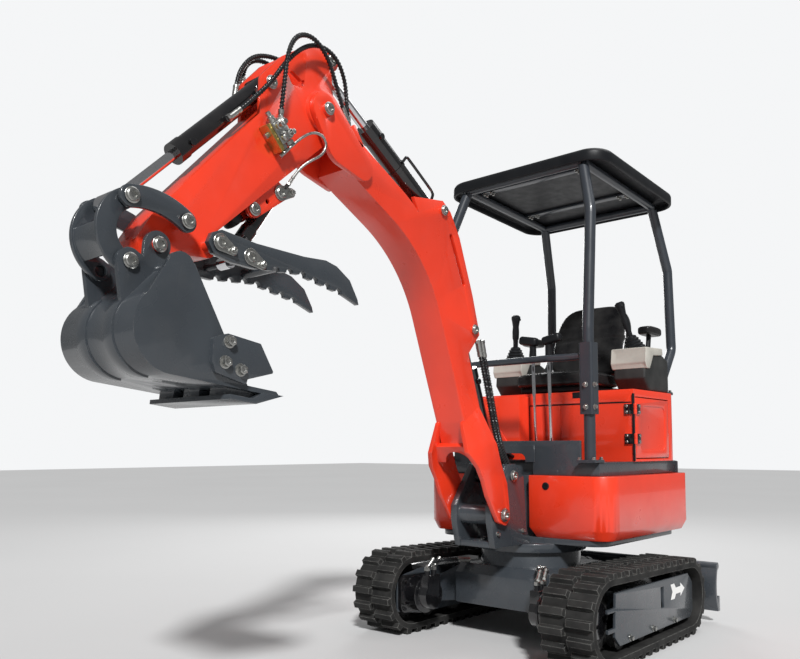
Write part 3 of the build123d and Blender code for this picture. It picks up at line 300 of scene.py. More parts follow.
def moulded(name, colour, roughness, grain, depth, worn=None, dust=0.06):
    """Moulded plastic or rubber with a fine grain, and pale scuffed edges where it is worn."""
    f = Finish(name).set(Specular_IOR_Level=0.25)
    dusty = toward(colour, PLASTIC_DUST, dust)
    tone = f.blend(f.spread(f.noise(11.0, 6.0), 0.0, 1.0), shade(colour, 0.8), dusty)
    if worn:
        scuff = f.times(f.edges(0.006, 0.05, 0.30), f.spread(f.noise(30.0, 6.0), 0.15, 1.0, 0.35, 0.6))
        tone = f.blend(scuff, tone, worn)
    f.colour(tone)
    f.rough(f.spread(f.noise(24.0, 5.0), roughness * 0.85, min(1.0, roughness * 1.15)))
    return f.bump(f.noise(grain, 3.0), depth, 0.35).material


FINISHES = {}


def finishes():
    """Every finish of the machine by name, made once."""
    if FINISHES:
        return FINISHES
    paint = bpy.context.scene.excavator_paint
    made = [
        gloss_paint("red_paint", paint.red, 0.30, 0.6, (0.30, 0.10, 0.06)),
        gloss_paint("grey_paint", paint.grey, 0.27, 0.5, (0.15, 0.15, 0.15)),
        gloss_paint("post_paint", paint.post, 0.32, 0.4, (0.16, 0.16, 0.17)),
        gloss_paint("black_paint", paint.black, 0.14, 0.8, (0.06, 0.06, 0.06)),
        gloss_paint("white_marking", paint.marking, 0.45, 0.0, (0.5, 0.5, 0.5)),
        metal("chrome", (0.82, 0.82, 0.84), 0.09),
        metal("zinc", (0.46, 0.46, 0.44), 0.34),
        metal("yellow_zinc", (0.62, 0.46, 0.15), 0.36),
        metal("cast_iron", (0.12, 0.12, 0.12), 0.55),
        moulded("track_rubber", paint.rubber, 0.78, 240.0, 0.0012, worn=(0.16, 0.16, 0.15)),
        moulded("black_plastic", paint.plastic, 0.42, 700.0, 0.0004, dust=0.01),
        moulded("trim_plastic", paint.trim, 0.55, 700.0, 0.0004),
        moulded("cream_plastic", paint.cream, 0.45, 800.0, 0.0003),
        moulded("hose_guard", paint.plastic, 0.2, 900.0, 0.0002),
        moulded("seat_vinyl", paint.vinyl, 0.24, 34.0, 0.0035),
    ]
    FINISHES.update({m.name.split(".")[0]: m for m in made})
    return FINISHES


# Modelling aids

def leave_edit():
    bpy.ops.object.mode_set(mode="OBJECT")


def clear_selection():
    if bpy.context.object and bpy.context.object.mode != "OBJECT":
        leave_edit()
    bpy.ops.object.select_all(action="DESELECT")


def only(obj):
    """Select one object alone and make it active."""
    clear_selection()
    obj.select_set(True)
    bpy.context.view_layer.objects.active = obj


def apply_modifier(obj, kind, **settings):
    only(obj)
    modifier = obj.modifiers.new(kind.title(), kind)
    for name, value in settings.items():
        setattr(modifier, name, value)
    bpy.ops.object.modifier_apply(modifier=modifier.name)
    return obj


def round_edges(obj, width, segments=2, angle=35.0):
    return apply_modifier(obj, "BEVEL", width=width, segments=segments, limit_method="ANGLE",
                          angle_limit=radians(angle))


def new_object(name, data):
    obj = bpy.data.objects.new(name, data)
    bpy.context.collection.objects.link(obj)
    return obj


def edit_all(obj):
    """Enter edit mode with the whole of an object selected."""
    only(obj)
    bpy.ops.object.mode_set(mode="EDIT")
    bpy.ops.mesh.select_all(action="SELECT")


def face_outwards(obj):
    """Turn every face of a closed mesh outwards."""
    edit_all(obj)
    bpy.ops.mesh.normals_make_consistent(inside=False)
    leave_edit()
    return obj


def pick_faces(obj, test):
    """Enter edit mode with only the faces that pass a test selected."""
    only(obj)
    bpy.ops.object.mode_set(mode="EDIT")
    bpy.ops.mesh.select_mode(type="FACE")
    bpy.ops.mesh.select_all(action="DESELECT")
    leave_edit()
    for face in obj.data.polygons:
        face.select = test(face)
    bpy.ops.object.mode_set(mode="EDIT")


def join(pieces):
    """Join pieces into one object."""
    clear_selection()
    for piece in pieces:
        piece.select_set(True)
    bpy.context.view_layer.objects.active = pieces[0]
    if len(pieces) > 1:
        bpy.ops.object.join()
    return bpy.context.object


def settle(obj):
    """Put an object's place into its mesh."""
    only(obj)
    bpy.ops.object.transform_apply(location=True, rotation=True, scale=True)
    return obj


def place(obj, matrix):
    obj.matrix_world = matrix
    return settle(obj)


def pointing(point, direction):
    """Place at a point with local Z in a direction."""
    return Matrix.Translation(point) @ Vector(direction).to_track_quat("Z", "Y").to_matrix().to_4x4()


def copies(master, spots):
    """One object of copies of a master, each at a point with its Z in a direction."""
    made = []
    for point, direction in spots:
        copy = master.copy()
        copy.data = master.data.copy()
        bpy.context.collection.objects.link(copy)
        made.append(place(copy, pointing(point, direction)))
    bpy.data.objects.remove(master)
    return join(made)


def dress(obj, name, body, material, replaces=(), angle=40.0):
    """Name a finished piece, give it its finish and slot, and let it ride."""
    settle(obj)
    bpy.ops.object.shade_smooth_by_angle(angle=radians(angle))
    obj.name = obj.data.name = name
    obj.data.materials.clear()
    obj.data.materials.append(finishes()[material])
    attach(obj, body)
    if replaces:
        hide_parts(*replaces)
    return obj


def slab(size, matrix=None, edge=0.002, segments=2):
    """Block of a size in millimetres, with rounded edges."""
    clear_selection()
    bpy.ops.mesh.primitive_cube_add(size=1.0)
    obj = bpy.context.object
    obj.scale = mm(*size)
    settle(obj)
    if edge:
        round_edges(obj, edge, segments)
    return place(obj, matrix) if matrix else obj


def turned(radius, steps, sides=24):
    """Piece built up along Z from a disc: each step is a rise and a new radius, in millimetres."""
    clear_selection()
    bpy.ops.mesh.primitive_circle_add(vertices=sides, radius=radius * MM, fill_type="NGON")
    obj = bpy.context.object
    edit_all(obj)
    height = 0.0
    for rise, new_radius in steps:
        height += rise * MM
        bpy.ops.mesh.extrude_region_move(TRANSFORM_OT_translate={"value": (0.0, 0.0, rise * MM)})
        share = new_radius / radius
        bpy.ops.transform.resize(value=(share, share, 1.0), center_override=(0.0, 0.0, height))
        radius = new_radius
    return face_outwards(obj)


def plate(outline, thickness, edge=0.001):
    """Flat plate of an outline in millimetres, raised along Z."""
    mesh = bpy.data.meshes.new("plate")
    mesh.from_pydata([(x * MM, y * MM, 0.0) for x, y in outline], [], [list(range(len(outline)))])
    obj = new_object("plate", mesh)
    edit_all(obj)
    bpy.ops.mesh.extrude_region_move(TRANSFORM_OT_translate={"value": (0.0, 0.0, thickness * MM)})
    face_outwards(obj)
    return round_edges(obj, edge, 1) if edge else obj


PIPE_ROUNDING = 2


def pipe(points, radius):
    """Bent rod or pipe along a smooth line."""
    curve = route(points)
    curve.data.bevel_depth = radius * MM
    curve.data.bevel_resolution = PIPE_ROUNDING
    curve.data.use_fill_caps = True
    only(curve)
    bpy.ops.object.convert(target="MESH")
    return bpy.context.object


def route(points, detail=12):
    """Curve with a smooth line led by control points in metres."""
    curve = bpy.data.curves.new("route", "CURVE")
    curve.dimensions = "3D"
    spline = curve.splines.new("NURBS")
    spline.points.add(len(points) - 1)
    for control, point in zip(spline.points, points):
        control.co = (*point, 1.0)
    spline.order_u = 3
    spline.use_endpoint_u = True
    spline.resolution_u = detail
    return new_object("route", curve)


def hex_bolt(width):
    """Hexagon bolt head on its washer, standing on Z."""
    half = width / 2
    washer = turned(half * 1.45, [(2.0, half * 1.45), (0.6, half * 1.32)], 20)
    head = turned(half * 1.1, [(half * 1.15, half * 1.1), (1.2, half * 0.92), (0.0, half * 0.5),
                               (-0.8, half * 0.42)], 6)
    head.location.z = 2.4 * MM
    return join([settle(washer), settle(head)])


def pin_head(radius):
    """Plated pin head with a chamfer and a hexagon socket."""
    head = turned(radius, [(radius * 0.42, radius), (radius * 0.14, radius * 0.86), (0.0, radius * 0.52),
                           (-radius * 0.34, radius * 0.50), (0.0, radius * 0.1)], 24)
    collar = turned(radius * 1.22, [(2.5, radius * 1.22), (1.2, radius * 1.14)], 24)
    return join([head, collar])


# Hoses

def swept_tube(name, line, radius, pitch, ridge, sides=12):
    """Mesh tube along a line, with a spiral ridge round it."""
    normal = (line[1] - line[0]).orthogonal().normalized()
    rings, run = [], 0.0
    for i, point in enumerate(line):
        ahead = line[min(i + 1, len(line) - 1)] - line[max(i - 1, 0)]
        ahead.normalize()
        normal = (normal - ahead * normal.dot(ahead)).normalized()
        side = ahead.cross(normal)
        if i:
            run += (point - line[i - 1]).length
        ring = []
        for k in range(sides):
            turn = 2 * pi * k / sides
            wave = 0.5 + 0.5 * cos(2 * pi * run / pitch - turn)
            reach = radius - ridge * (1.0 - wave)
            ring.append(point + (normal * cos(turn) + side * sin(turn)) * reach)
        rings.append(ring)
    faces = []
    for i in range(len(rings) - 1):
        for k in range(sides):
            a, b = i * sides + k, i * sides + (k + 1) % sides
            faces.append((a, b, b + sides, a + sides))
    last = (len(rings) - 1) * sides
    faces += [tuple(reversed(range(sides))), tuple(range(last, last + sides))]
    mesh = bpy.data.meshes.new(name)
    mesh.from_pydata([v for ring in rings for v in ring], [], faces)
    obj = face_outwards(new_object(name, mesh))
    bpy.ops.object.shade_smooth_by_angle(angle=radians(60))
    return obj


def hose(name, points, body, to_body=None, kind="hose"):
    """Free hose from its first point to its last, with a crimped sleeve and nut at both ends."""
    sizes = bpy.context.scene.excavator_fittings
    width = getattr(sizes, kind)
    curve = route([mm(*p) for p in points], 24)
    line = [v.co.copy() for v in bpy.data.meshes.new_from_object(curve).vertices]
    bpy.data.objects.remove(curve)
    braided = kind == "thin_hose"
    tube = swept_tube(name, line, width / 2, sizes.guard_pitch, width * (0.02 if braided else 0.2))
    cover = "zinc" if braided else "hose_guard"
    tube.data.materials.append(finishes()[cover])
    for tag, point, ahead, rider in (("start", line[0], line[4] - line[0], body),
                                     ("end", line[-1], line[-5] - line[-1], to_body or body)):
        piece = place(ferrule(width), pointing(point, ahead))
        dress(piece, f"{name}_{tag}_sleeve", rider, "zinc")
    if to_body:
        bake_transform(tube)
    else:
        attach(tube, body)


FERRULE_HOSE = 0.018     # the hose that the ferrule property's length is for


def ferrule(width):
    """Crimped sleeve with its nut, standing on Z, for a hose of a width."""
    radius = width / MM / 2 + 1.5
    length = bpy.context.scene.excavator_fittings.ferrule / MM * width / FERRULE_HOSE
    sleeve = turned(radius, [(length * 0.55, radius), (1.0, radius - 1.5), (3.0, radius - 1.5), (1.0, radius),
                             (length * 0.25, radius), (2.0, radius - 3.0)], 20)
    nut = turned(radius * 1.15, [(length * 0.2, radius * 1.15), (1.5, radius)], 6)
    nut.location.z = -length * 0.2 * MM
    return join([sleeve, settle(nut)])


OVER_TIP = {
    "bucket_hose": [(1836, 52, 1916), (1795, 66, 1958), (1709, 94, 2060), (1645, 98, 2160), (1562, 96, 2246),
                    (1480, 94, 2278), (1404, 90, 2262), (1345, 72, 2206), (1322, 58, 2130), (1306, 52, 2040)],
    "valve_hose": [(1660, 84, 1940), (1664, 98, 2000), (1667, 114, 2070), (1660, 120, 2170),
                   (1630, 120, 2240), (1578, 118, 2272), (1520, 116, 2268), (1458, 106, 2228),
                   (1412, 92, 2165), (1372, 80, 2110), (1340, 76, 2056)],
    "far_bucket_hose": [(1742, -52, 2044), (1730, -60, 2100), (1700, -74, 2170), (1640, -86, 2240),
                        (1560, -92, 2272), (1480, -92, 2274), (1404, -92, 2250), (1345, -74, 2200),
                        (1318, -60, 2130), (1300, -52, 2040)],
    "far_valve_hose": [(1690, -80, 2100), (1682, -90, 2150), (1660, -104, 2204), (1612, -112, 2246),
                       (1550, -114, 2256), (1485, -112, 2236), (1430, -100, 2184), (1388, -86, 2122),
                       (1342, -76, 2054)],
}
THUMB_HOSE = [(1652, 84, 1836), (1626, 96, 1866), (1590, 110, 1908), (1545, 120, 1940), (1500, 124, 1940),
              (1484, 124, 1904), (1506, 120, 1868), (1548, 106, 1840), (1578, 84, 1808), (1598, 62, 1760)]
BOOM_FEED = [(505, 1330), (486, 1265), (460, 1190), (432, 1100), (408, 1015), (382, 935), (350, 862),
             (308, 800), (268, 745), (240, 690)]
BOOM_FEED_PLACES = ((0, 60), (-26, 60), (-26, -60), (0, -60))
MOTOR_PORTS = (379, 427)
TRAVEL_RUN = [(6, 293, 322), (20, 290, 338), (45, 284, 344), (72, 270, 346), (98, 250, 347), (120, 226, 346)]
TRAVEL_END = (240, 196, 343)
TRAVEL_END_SPREAD = 0.2


class OBJECT_OT_excavator_hoses(bpy.types.Operator):
    """Lay the hoses over the boom's tip, behind the boom, to the thumb cylinder and to the travel motors"""

    bl_idname = "object.excavator_hoses"
    bl_label = "Hoses"

    def execute(self, context):
        for name, points in OVER_TIP.items():
            hose(name, points, "arm", "boom")
        hose("thumb_hose", THUMB_HOSE, "arm", kind="thin_hose")
        for number, (back, y) in enumerate(BOOM_FEED_PLACES):
            points = [(x + back, y, z) for x, z in BOOM_FEED]
            hose(f"boom_feed_hose_{number}", points, "boom", "house", "feed_hose")
        for side, word in SIDES:
            for number, x in enumerate(MOTOR_PORTS, 1):
                points = [(x - back, side * y, z) for back, y, z in TRAVEL_RUN]
                end_x = TRAVEL_END[0] + (x - MOTOR_PORTS[0]) * TRAVEL_END_SPREAD
                points.append((end_x, side * TRAVEL_END[1], TRAVEL_END[2]))
                hose(f"travel_hose_{word}_{number}", points, "undercarriage")
        return {"FINISHED"}


# Softened plates and panels of the frame

SOFTENED = {
    "red_paint": {"boom": "boom", "arm": "arm", "thumb_bracket": "arm", "cowl_left": "house",
                  "cowl_right": "house", "seat_base": "house", "rear_hood": "house",
                  "side_door": "side_door"},
    "grey_paint": {"track_frame": "undercarriage", "blade": "blade", "house_frame": "house",
                   "boom_bracket": "house", "counterweight": "house", "floor": "house", "bucket": "bucket",
                   "thumb": "thumb", "rocker": "rocker", "bucket_link": "bucket_link"},
    "track_rubber": {"track_left": "undercarriage", "track_right": "undercarriage"},
    "black_plastic": {"canopy_roof": "house"},
    "trim_plastic": {"console_left": "house", "console_right": "house"},
    "black_paint": {"travel_motor_left": "undercarriage", "travel_motor_right": "undercarriage"},
}
PRESSED = ("cowl_left", "cowl_right", "rear_hood", "side_door", "canopy_roof", "counterweight", "track_left",
           "track_right")
MOULDED = ("console_left", "console_right")


class OBJECT_OT_excavator_plates(bpy.types.Operator):
    """Copy the frame's plates, panels and tracks with softened edges"""

    bl_idname = "object.excavator_plates"
    bl_label = "Plates and Panels"

    def execute(self, context):
        sizes = context.scene.excavator_fittings
        for material, nodes in SOFTENED.items():
            for node, body in nodes.items():
                mesh = frame["nodes"][node].data.copy()
                piece = new_object(node, mesh)
                edit_all(piece)
                bpy.ops.mesh.remove_doubles(threshold=0.00002)
                bpy.ops.mesh.dissolve_limited(angle_limit=radians(0.5))
                leave_edit()
                if node in MOULDED:
                    round_edges(piece, sizes.moulded_edge, 4)
                else:
                    round_edges(piece, sizes.panel_edge if node in PRESSED else sizes.plate_edge)
                dress(piece, f"{node}_softened", body, material, (node,))
        return {"FINISHED"}


NODE_FINISH = {
    "post_paint": ("front_post_left", "front_post_right", "rear_post_left", "rear_post_right", "roof_bars",
                   "handrail"),
    "black_paint": ("boom_barrel", "arm_barrel", "bucket_barrel", "thumb_barrel", "blade_barrel"),
    "chrome": ("boom_rod", "arm_rod", "bucket_rod", "thumb_rod", "blade_rod", "thumb_bracket_pin"),
    "cast_iron": ("sprocket_left", "sprocket_right", "idler_left", "idler_right", "rollers_left",
                  "rollers_right", "engine"),
    "black_plastic": ("joystick_left", "joystick_right", "travel_levers"),
    "seat_vinyl": ("seat",),
}


class OBJECT_OT_excavator_finish_frame(bpy.types.Operator):
    """Give the frame's posts, cylinders and running gear their finish"""

    bl_idname = "object.excavator_finish_frame"
    bl_label = "Posts, Cylinders and Running Gear"

    def execute(self, context):
        for finish, nodes in NODE_FINISH.items():
            for name in nodes:
                node = frame["nodes"][name]
                node.data.materials.clear()
                node.data.materials.append(finishes()[finish])
        return {"FINISHED"}


# Pins and fasteners

# Name, body, link, places along, above and beside it, share of the usual size
PINS = (
    ("boom_foot_pins", "house", BOOM, ((0, 0, 138),), 1.15),
    ("lift_base_pins", "house", GROUND, ((320, 749, 116),), 1.0),
    ("boom_pins", "boom", BOOM, ((730, 348, 83), (1241, 446, 83)), 0.85),
    ("arm_pins", "arm", ARM, ((0, 0, 105), (-175, 119, 68), (149, 174, 68), (782, 4, 124),
                              (ARM_REACH, 0, 106), (733, -100, 132), (346, -128, 44), (482, -112, 48)), 0.9),
    ("rocker_pins", "rocker", ARM, ((888, 150, 122),), 0.9),
    ("bucket_pins", "bucket", BUCKET, ((-10, 105, 103),), 0.9),
    ("thumb_pins", "thumb", ARM, ((664, -195, 128),), 0.8),
)
# Name, body, place along, below and beside the arm, turn in degrees
FLAGS = (
    ("thumb_pin_flag", "arm", 733, -100, 132, 115.0),
    ("thumb_eye_flag", "thumb", 664, -195, 128, 115.0),
    ("thumb_base_flag", "arm", 346, -128, 44, 150.0),
)


def flag_plate(radius, reach):
    """Keeper plate of a pin, round at both ends, with its bolt, standing on Z."""
    turns = [pi / 2 + pi * i / 8 for i in range(9)]
    oval = [(radius * cos(t), radius * sin(t)) for t in turns]
    oval += [(reach - 0.6 * radius * cos(t), -0.6 * radius * sin(t)) for t in turns]
    bolt = hex_bolt(radius * 0.6)
    bolt.location = mm(reach, 0, 5)
    return join([plate(oval, 5), settle(bolt)])


class OBJECT_OT_excavator_pins(bpy.types.Operator):
    """Cap every pin of the front end with plated heads, and hold the thumb's by keeper plates"""

    bl_idname = "object.excavator_pins"
    bl_label = "Pins"

    def execute(self, context):
        radius = context.scene.excavator_fittings.pin_head / MM
        for name, body, link, spots, share in PINS:
            heads = [(link.at(u, v, side * y), LEFT * side) for u, v, y in spots for side in (1, -1)]
            piece = copies(pin_head(radius * share), heads)
            dress(piece, name, body, "zinc")
        for name, body, u, v, y, turn in FLAGS:
            stand = rotated(-90, "X") @ rotated(turn, "Z")
            piece = place(flag_plate(radius * 1.3, radius * 2.2), ARM.frame(u, v, y) @ stand)
            dress(piece, name, body, "zinc")
        return {"FINISHED"}


# Name, body, finish, places with their directions, share of the usual size
BOLTS = (
    ("side_frame_bolts", "undercarriage", "zinc",
     [(mm(x, side * 597, 97), LEFT * side) for x in (207, -20, -250) for side in (1, -1)], 1.0),
    ("motor_bolts", "undercarriage", "black_paint",
     [(mm(403 + dx, side * 392.7, 190 + dz), -LEFT * side)
      for dx in (-78, 78) for dz in (-66, 66) for side in (1, -1)], 0.9),
    ("sleeve_bolts", "house", "zinc",
     [(mm(162, side * 433, z), LEFT * side) for z in (1052, 1150) for side in (1, -1)]
     + [(mm(178, side * 400, z), AHEAD) for z in (1052, 1150) for side in (1, -1)], 0.9),
    ("post_foot_bolts", "house", "zinc",
     [(mm(145 + dx, side * (400 + dy), 820), UP)
      for dx in (-34, 34) for dy in (-34, 34) for side in (1, -1)]
     + [(mm(-717 + dx, side * (367 + dy), 1164), UP)
        for dx in (-36, 36) for dy in (-34, 34) for side in (1, -1)], 0.75),
    ("cutter_bolts", "bucket", "zinc",
     [(BUCKET.at(u, v, side * 216), LEFT * side)
      for u, v in ((309, 55), (345, 105), (395, 76)) for side in (1, -1)], 1.4),
    ("bracket_bolts", "house", "zinc",
     [(mm(x, side * 108, z), LEFT * side) for x, z in ((240, 500), (440, 500)) for side in (1, -1)], 0.8),
)


class OBJECT_OT_excavator_bolts(bpy.types.Operator):
    """Set the hexagon bolts of the track frame, motors, posts, side cutters and boom bracket"""

    bl_idname = "object.excavator_bolts"
    bl_label = "Bolts"

    def execute(self, context):
        width = context.scene.excavator_fittings.bolt / MM
        for name, body, material, spots, share in BOLTS:
            dress(copies(hex_bolt(width * share), spots), name, body, material)
        return {"FINISHED"}


# Hydraulic fittings

CYLINDER_LINE = ((58, 0, 46), (58, 30, 46), (62, 50, 42), (90, 54, 40), (160, 54, 40), (235, 54, 40),
                 (262, 50, 42), (266, 32, 44), (266, 10, 40))
PORT_Y = 294.7
VALVE = (252, 40)


class OBJECT_OT_excavator_fittings(bpy.types.Operator):
    """Make the arm's valve and bumper, the hose rest and bosses, the arm cylinder's line and the elbows"""

    bl_idname = "object.excavator_fittings"
    bl_label = "Valve and Lines"

    def execute(self, context):
        u, v = VALVE
        body = slab((62, 46, 78), ARM.frame(u, v, 84), 0.004)
        caps = copies(turned(15, [(4, 15), (1, 13), (10, 13), (2, 9), (14, 9), (2, 6)], 20),
                      [(ARM.at(u + du, v + dv, 106), LEFT) for du, dv in ((-14, -20), (14, 20))]
                      + [(ARM.at(u, 78, 84), ARM.up), (ARM.at(283, 52, 84), ARM.along)])
        nuts = copies(turned(14, [(12, 14), (2, 11), (8, 8)], 6),
                      [(ARM.at(u + du, v + dv, 106), LEFT) for du, dv in ((14, -20), (-14, 20))]
                      + [(ARM.at(236, -2, 90), -ARM.up), (ARM.at(268, -2, 84), -ARM.up)])
        dress(join([body, caps, nuts]), "changeover_valve", "arm", "zinc")
        backing = slab((16, 44, 96), ARM.frame(292, 34, 82), 0.002)
        dress(backing, "valve_plate", "arm", "yellow_zinc")

        crowd = Link(BOOM.at(1241, 446), ARM.at(-175, 119) - BOOM.at(1241, 446))
        line = [crowd.at(*point) for point in CYLINDER_LINE]
        dress(pipe(line, 6), "arm_cylinder_line", "arm_barrel", "black_paint")
        bands = copies(turned(42.5, [(14, 42.5), (0.0, 38.0)], 32),
                       [(crowd.at(u, 0), crowd.along) for u in (250, 412)])
        dress(bands, "arm_cylinder_bands", "arm_barrel", "black_paint")

        stop = place(turned(34, [(26, 34), (6, 30), (3, 22)], 28), pointing(ARM.at(548, -87), -ARM.up))
        dress(stop, "thumb_bumper", "arm", "black_plastic")
        rest = slab((90, 150, 34), BOOM.frame(1662, 118), 0.005)
        dress(rest, "hose_rest", "boom", "red_paint")

        boss = place(turned(13, [(20, 13), (2, 11)], 20), pointing(mm(1838, 28, 1915), LEFT))
        elbow = pipe([mm(1612, 14, 1734), mm(1606, 34, 1740), mm(1601, 50, 1750), mm(1598, 62, 1760)], 7)
        dress(join([boss, elbow]), "hose_bosses", "arm", "black_paint")

        elbows = []
        for side in (1, -1):
            for x in MOTOR_PORTS:
                elbows.append(pipe([mm(x, side * PORT_Y, 300), mm(x, side * PORT_Y, 312),
                                    mm(x - 2, side * 294, 318), mm(x - 8, side * 292.5, 325)], 8))
                nut = turned(15, [(14, 15), (2, 11)], 6)
                elbows.append(place(nut, pointing(mm(x, side * PORT_Y, 303), UP)))
        dress(join(elbows), "motor_elbows", "undercarriage", "zinc")
        return {"FINISHED"}


# Operator's place

PAD_CUTS = 31
SEAM_REACH = 0.07
SEAM_DEPTH = 10


def pillow(size, squareness, crown, channels=(), taper=0.0):
    """Crowned pad standing on Z, its corners drawn in, with sewn channels across its top."""
    clear_selection()
    bpy.ops.mesh.primitive_cube_add(size=2.0)
    obj = bpy.context.object
    edit_all(obj)
    bpy.ops.mesh.subdivide(number_cuts=PAD_CUTS)
    leave_edit()
    for vertex in obj.data.vertices:
        reach = sum(abs(c) ** squareness for c in vertex.co) ** (1 / squareness)
        x, y, z = vertex.co / reach
        dome = max(0.0, 1 - x * x) * max(0.0, 1 - y * y)
        seam = sum(max(0.0, 1 - abs(x - c) / SEAM_REACH) ** 2 for c in channels) * (1 - y ** 8)
        narrow = 1 - taper * max(0.0, x) ** 2
        rise = z * size[2] / 2 + max(0.0, z) * (crown * dome - SEAM_DEPTH * seam)
        vertex.co = mm(x * size[0] / 2, y * size[1] / 2 * narrow, rise)
    return apply_modifier(obj, "SUBSURF", levels=1, render_levels=1)


SEAT_BACK_LEAN = 19.0
SEAT_BACK_FRAME = spot(-668, 0, 1452) @ rotated(90 - SEAT_BACK_LEAN, "Y") @ rotated(180, "Z")


class OBJECT_OT_excavator_seat(bpy.types.Operator):
    """Upholster the seat's cushion and back, and set them on their pan"""

    bl_idname = "object.excavator_seat"
    bl_label = "Seat"

    def execute(self, context):
        cushion = place(pillow((388, 440, 74), 6.0, 18, (-0.5, 0.05, 0.55)), spot(-386, 0, 1219))
        back = place(pillow((420, 440, 84), 5.0, 14, (-0.45, 0.0, 0.45), 0.2), SEAT_BACK_FRAME)
        pads = dress(join([cushion, back]), "seat_pads", "house", "seat_vinyl", ("seat",), 60.0)
        pan = slab((400, 392, 30), spot(-440, 0, 1170), 0.008, 3)
        runners = [slab((360, 30, 16), spot(-440, y, 1156), 0.002) for y in (130, -130)]
        dress(join([pan, *runners]), "seat_pan", "house", "black_plastic")
        return {"FINISHED"}


CONSOLE_COVER = [(-364, 1262), (-350, 1292), (-360, 1366), (-556, 1374), (-562, 1340), (-446, 1330),
                 (-404, 1262)]
CONSOLE_COVER_WIDTH = 184
CONSOLE_Y, ARMREST_Y = 355, 352
BOOT_STEPS = [(7, 62), (0, 54), (8, 55), (6, 46), (9, 49), (6, 40), (9, 43), (6, 34), (9, 37), (6, 28),
              (9, 27), (6, 15)]
GRIP_STEPS = [(42, 14), (12, 18), (36, 19), (30, 17), (26, 21), (18, 25), (12, 24), (7, 15)]
LEVER_Y = 45


class OBJECT_OT_excavator_controls(bpy.types.Operator):
    """Make the consoles' cream tops, the armrests, the joysticks with bellows and the travel levers"""

    bl_idname = "object.excavator_controls"
    bl_label = "Consoles, Joysticks and Levers"

    def execute(self, context):
        for side, word in SIDES:
            self.console(side, word)
            self.joystick(side, word)
        self.levers()
        return {"FINISHED"}

    def console(self, side, word):
        cover = plate(CONSOLE_COVER, CONSOLE_COVER_WIDTH, 0.0)
        place(cover, spot(0, side * CONSOLE_Y + CONSOLE_COVER_WIDTH / 2, 0) @ rotated(90, "X"))
        pick_faces(cover, lambda face: face.normal.x > 0.8)
        bpy.ops.mesh.inset(thickness=0.022)
        bpy.ops.transform.translate(value=(-0.009, 0.0, 0.0))
        leave_edit()
        round_edges(cover, 0.012, 4, 25)
        dress(cover, f"console_top_{word}", "house", "cream_plastic")
        rest = place(pillow((170, 78, 46), 4.0, 4), spot(-628, side * ARMREST_Y, 1478))
        dress(rest, f"armrest_{word}", "house", "seat_vinyl", (), 60.0)
        stem = pipe([mm(x, side * ARMREST_Y, z) for x, z in ((-590, 1330), (-604, 1400), (-616, 1466))], 13)
        dress(stem, f"armrest_stem_{word}", "house", "black_plastic")

    def joystick(self, side, word):
        axis = Vector((0.070, -side * 0.052, 0.250)).normalized()
        boot = turned(62, BOOT_STEPS, 28)
        grip = turned(13, GRIP_STEPS, 20)
        grip.location.z = 76 * MM
        button = turned(6, [(4, 6), (1, 4)], 14)
        button.matrix_world = pointing(Vector((0.022, 0.0, 0.235)), AHEAD)
        foot = mm(-440, side * CONSOLE_Y, 1360)
        piece = place(join([boot, settle(grip), settle(button)]), pointing(foot, axis))
        dress(piece, f"joystick_{word}_dressed", "house", "black_plastic", (f"joystick_{word}",))

    def levers(self):
        rods, rubber = [], []
        for side in (1, -1):
            y = side * LEVER_Y
            rods.append(pipe([mm(-139, y, 840), mm(-132, y, 1010), mm(-125, y, 1170), mm(-119, y, 1340)], 9))
            rods.append(place(turned(16, [(18, 16), (2, 12)], 6), pointing(mm(-141, y, 812), UP)))
            rubber.append(slab((52, 56, 30), spot(-138, y, 860), 0.008, 3))
            grip = turned(17, [(70, 17), (14, 21), (10, 12)], 16)
            rubber.append(place(grip, pointing(mm(-120, y, 1318), UP)))
            knob = slab((46, 104, 44), spot(-116, side * 66, 1412) @ rotated(side * 10, "X"), 0.016, 4)
            rubber.append(knob)
        dress(join(rods), "lever_rods", "house", "chrome", ("travel_levers",))
        dress(join(rubber), "lever_grips", "house", "black_plastic")


# House trim

HINGE_HEIGHTS = (915, 1055)
# Name, middle, turn in degrees, width
VENTS = (("rear", (-781, 0, 976), 0, 440), ("left", (-715, 377, 976), 49, 120),
         ("right", (-715, -377, 976), -49, 120))
VENT_HEIGHT, VENT_PITCH = 230, 10
MAT_RIBS = 20
TOE_PLATE = (116, 886, 806)      # half width, top, foot
TOE_ARCH = (66, 846)             # half width and top of its opening
TOE_ROUND = 28
CANOPY_LEAN = 2.68               # fall of the canopy to the rear, in degrees
CANOPY_STRAPS = ((-70, 2219.6), (-520, 2198.6))


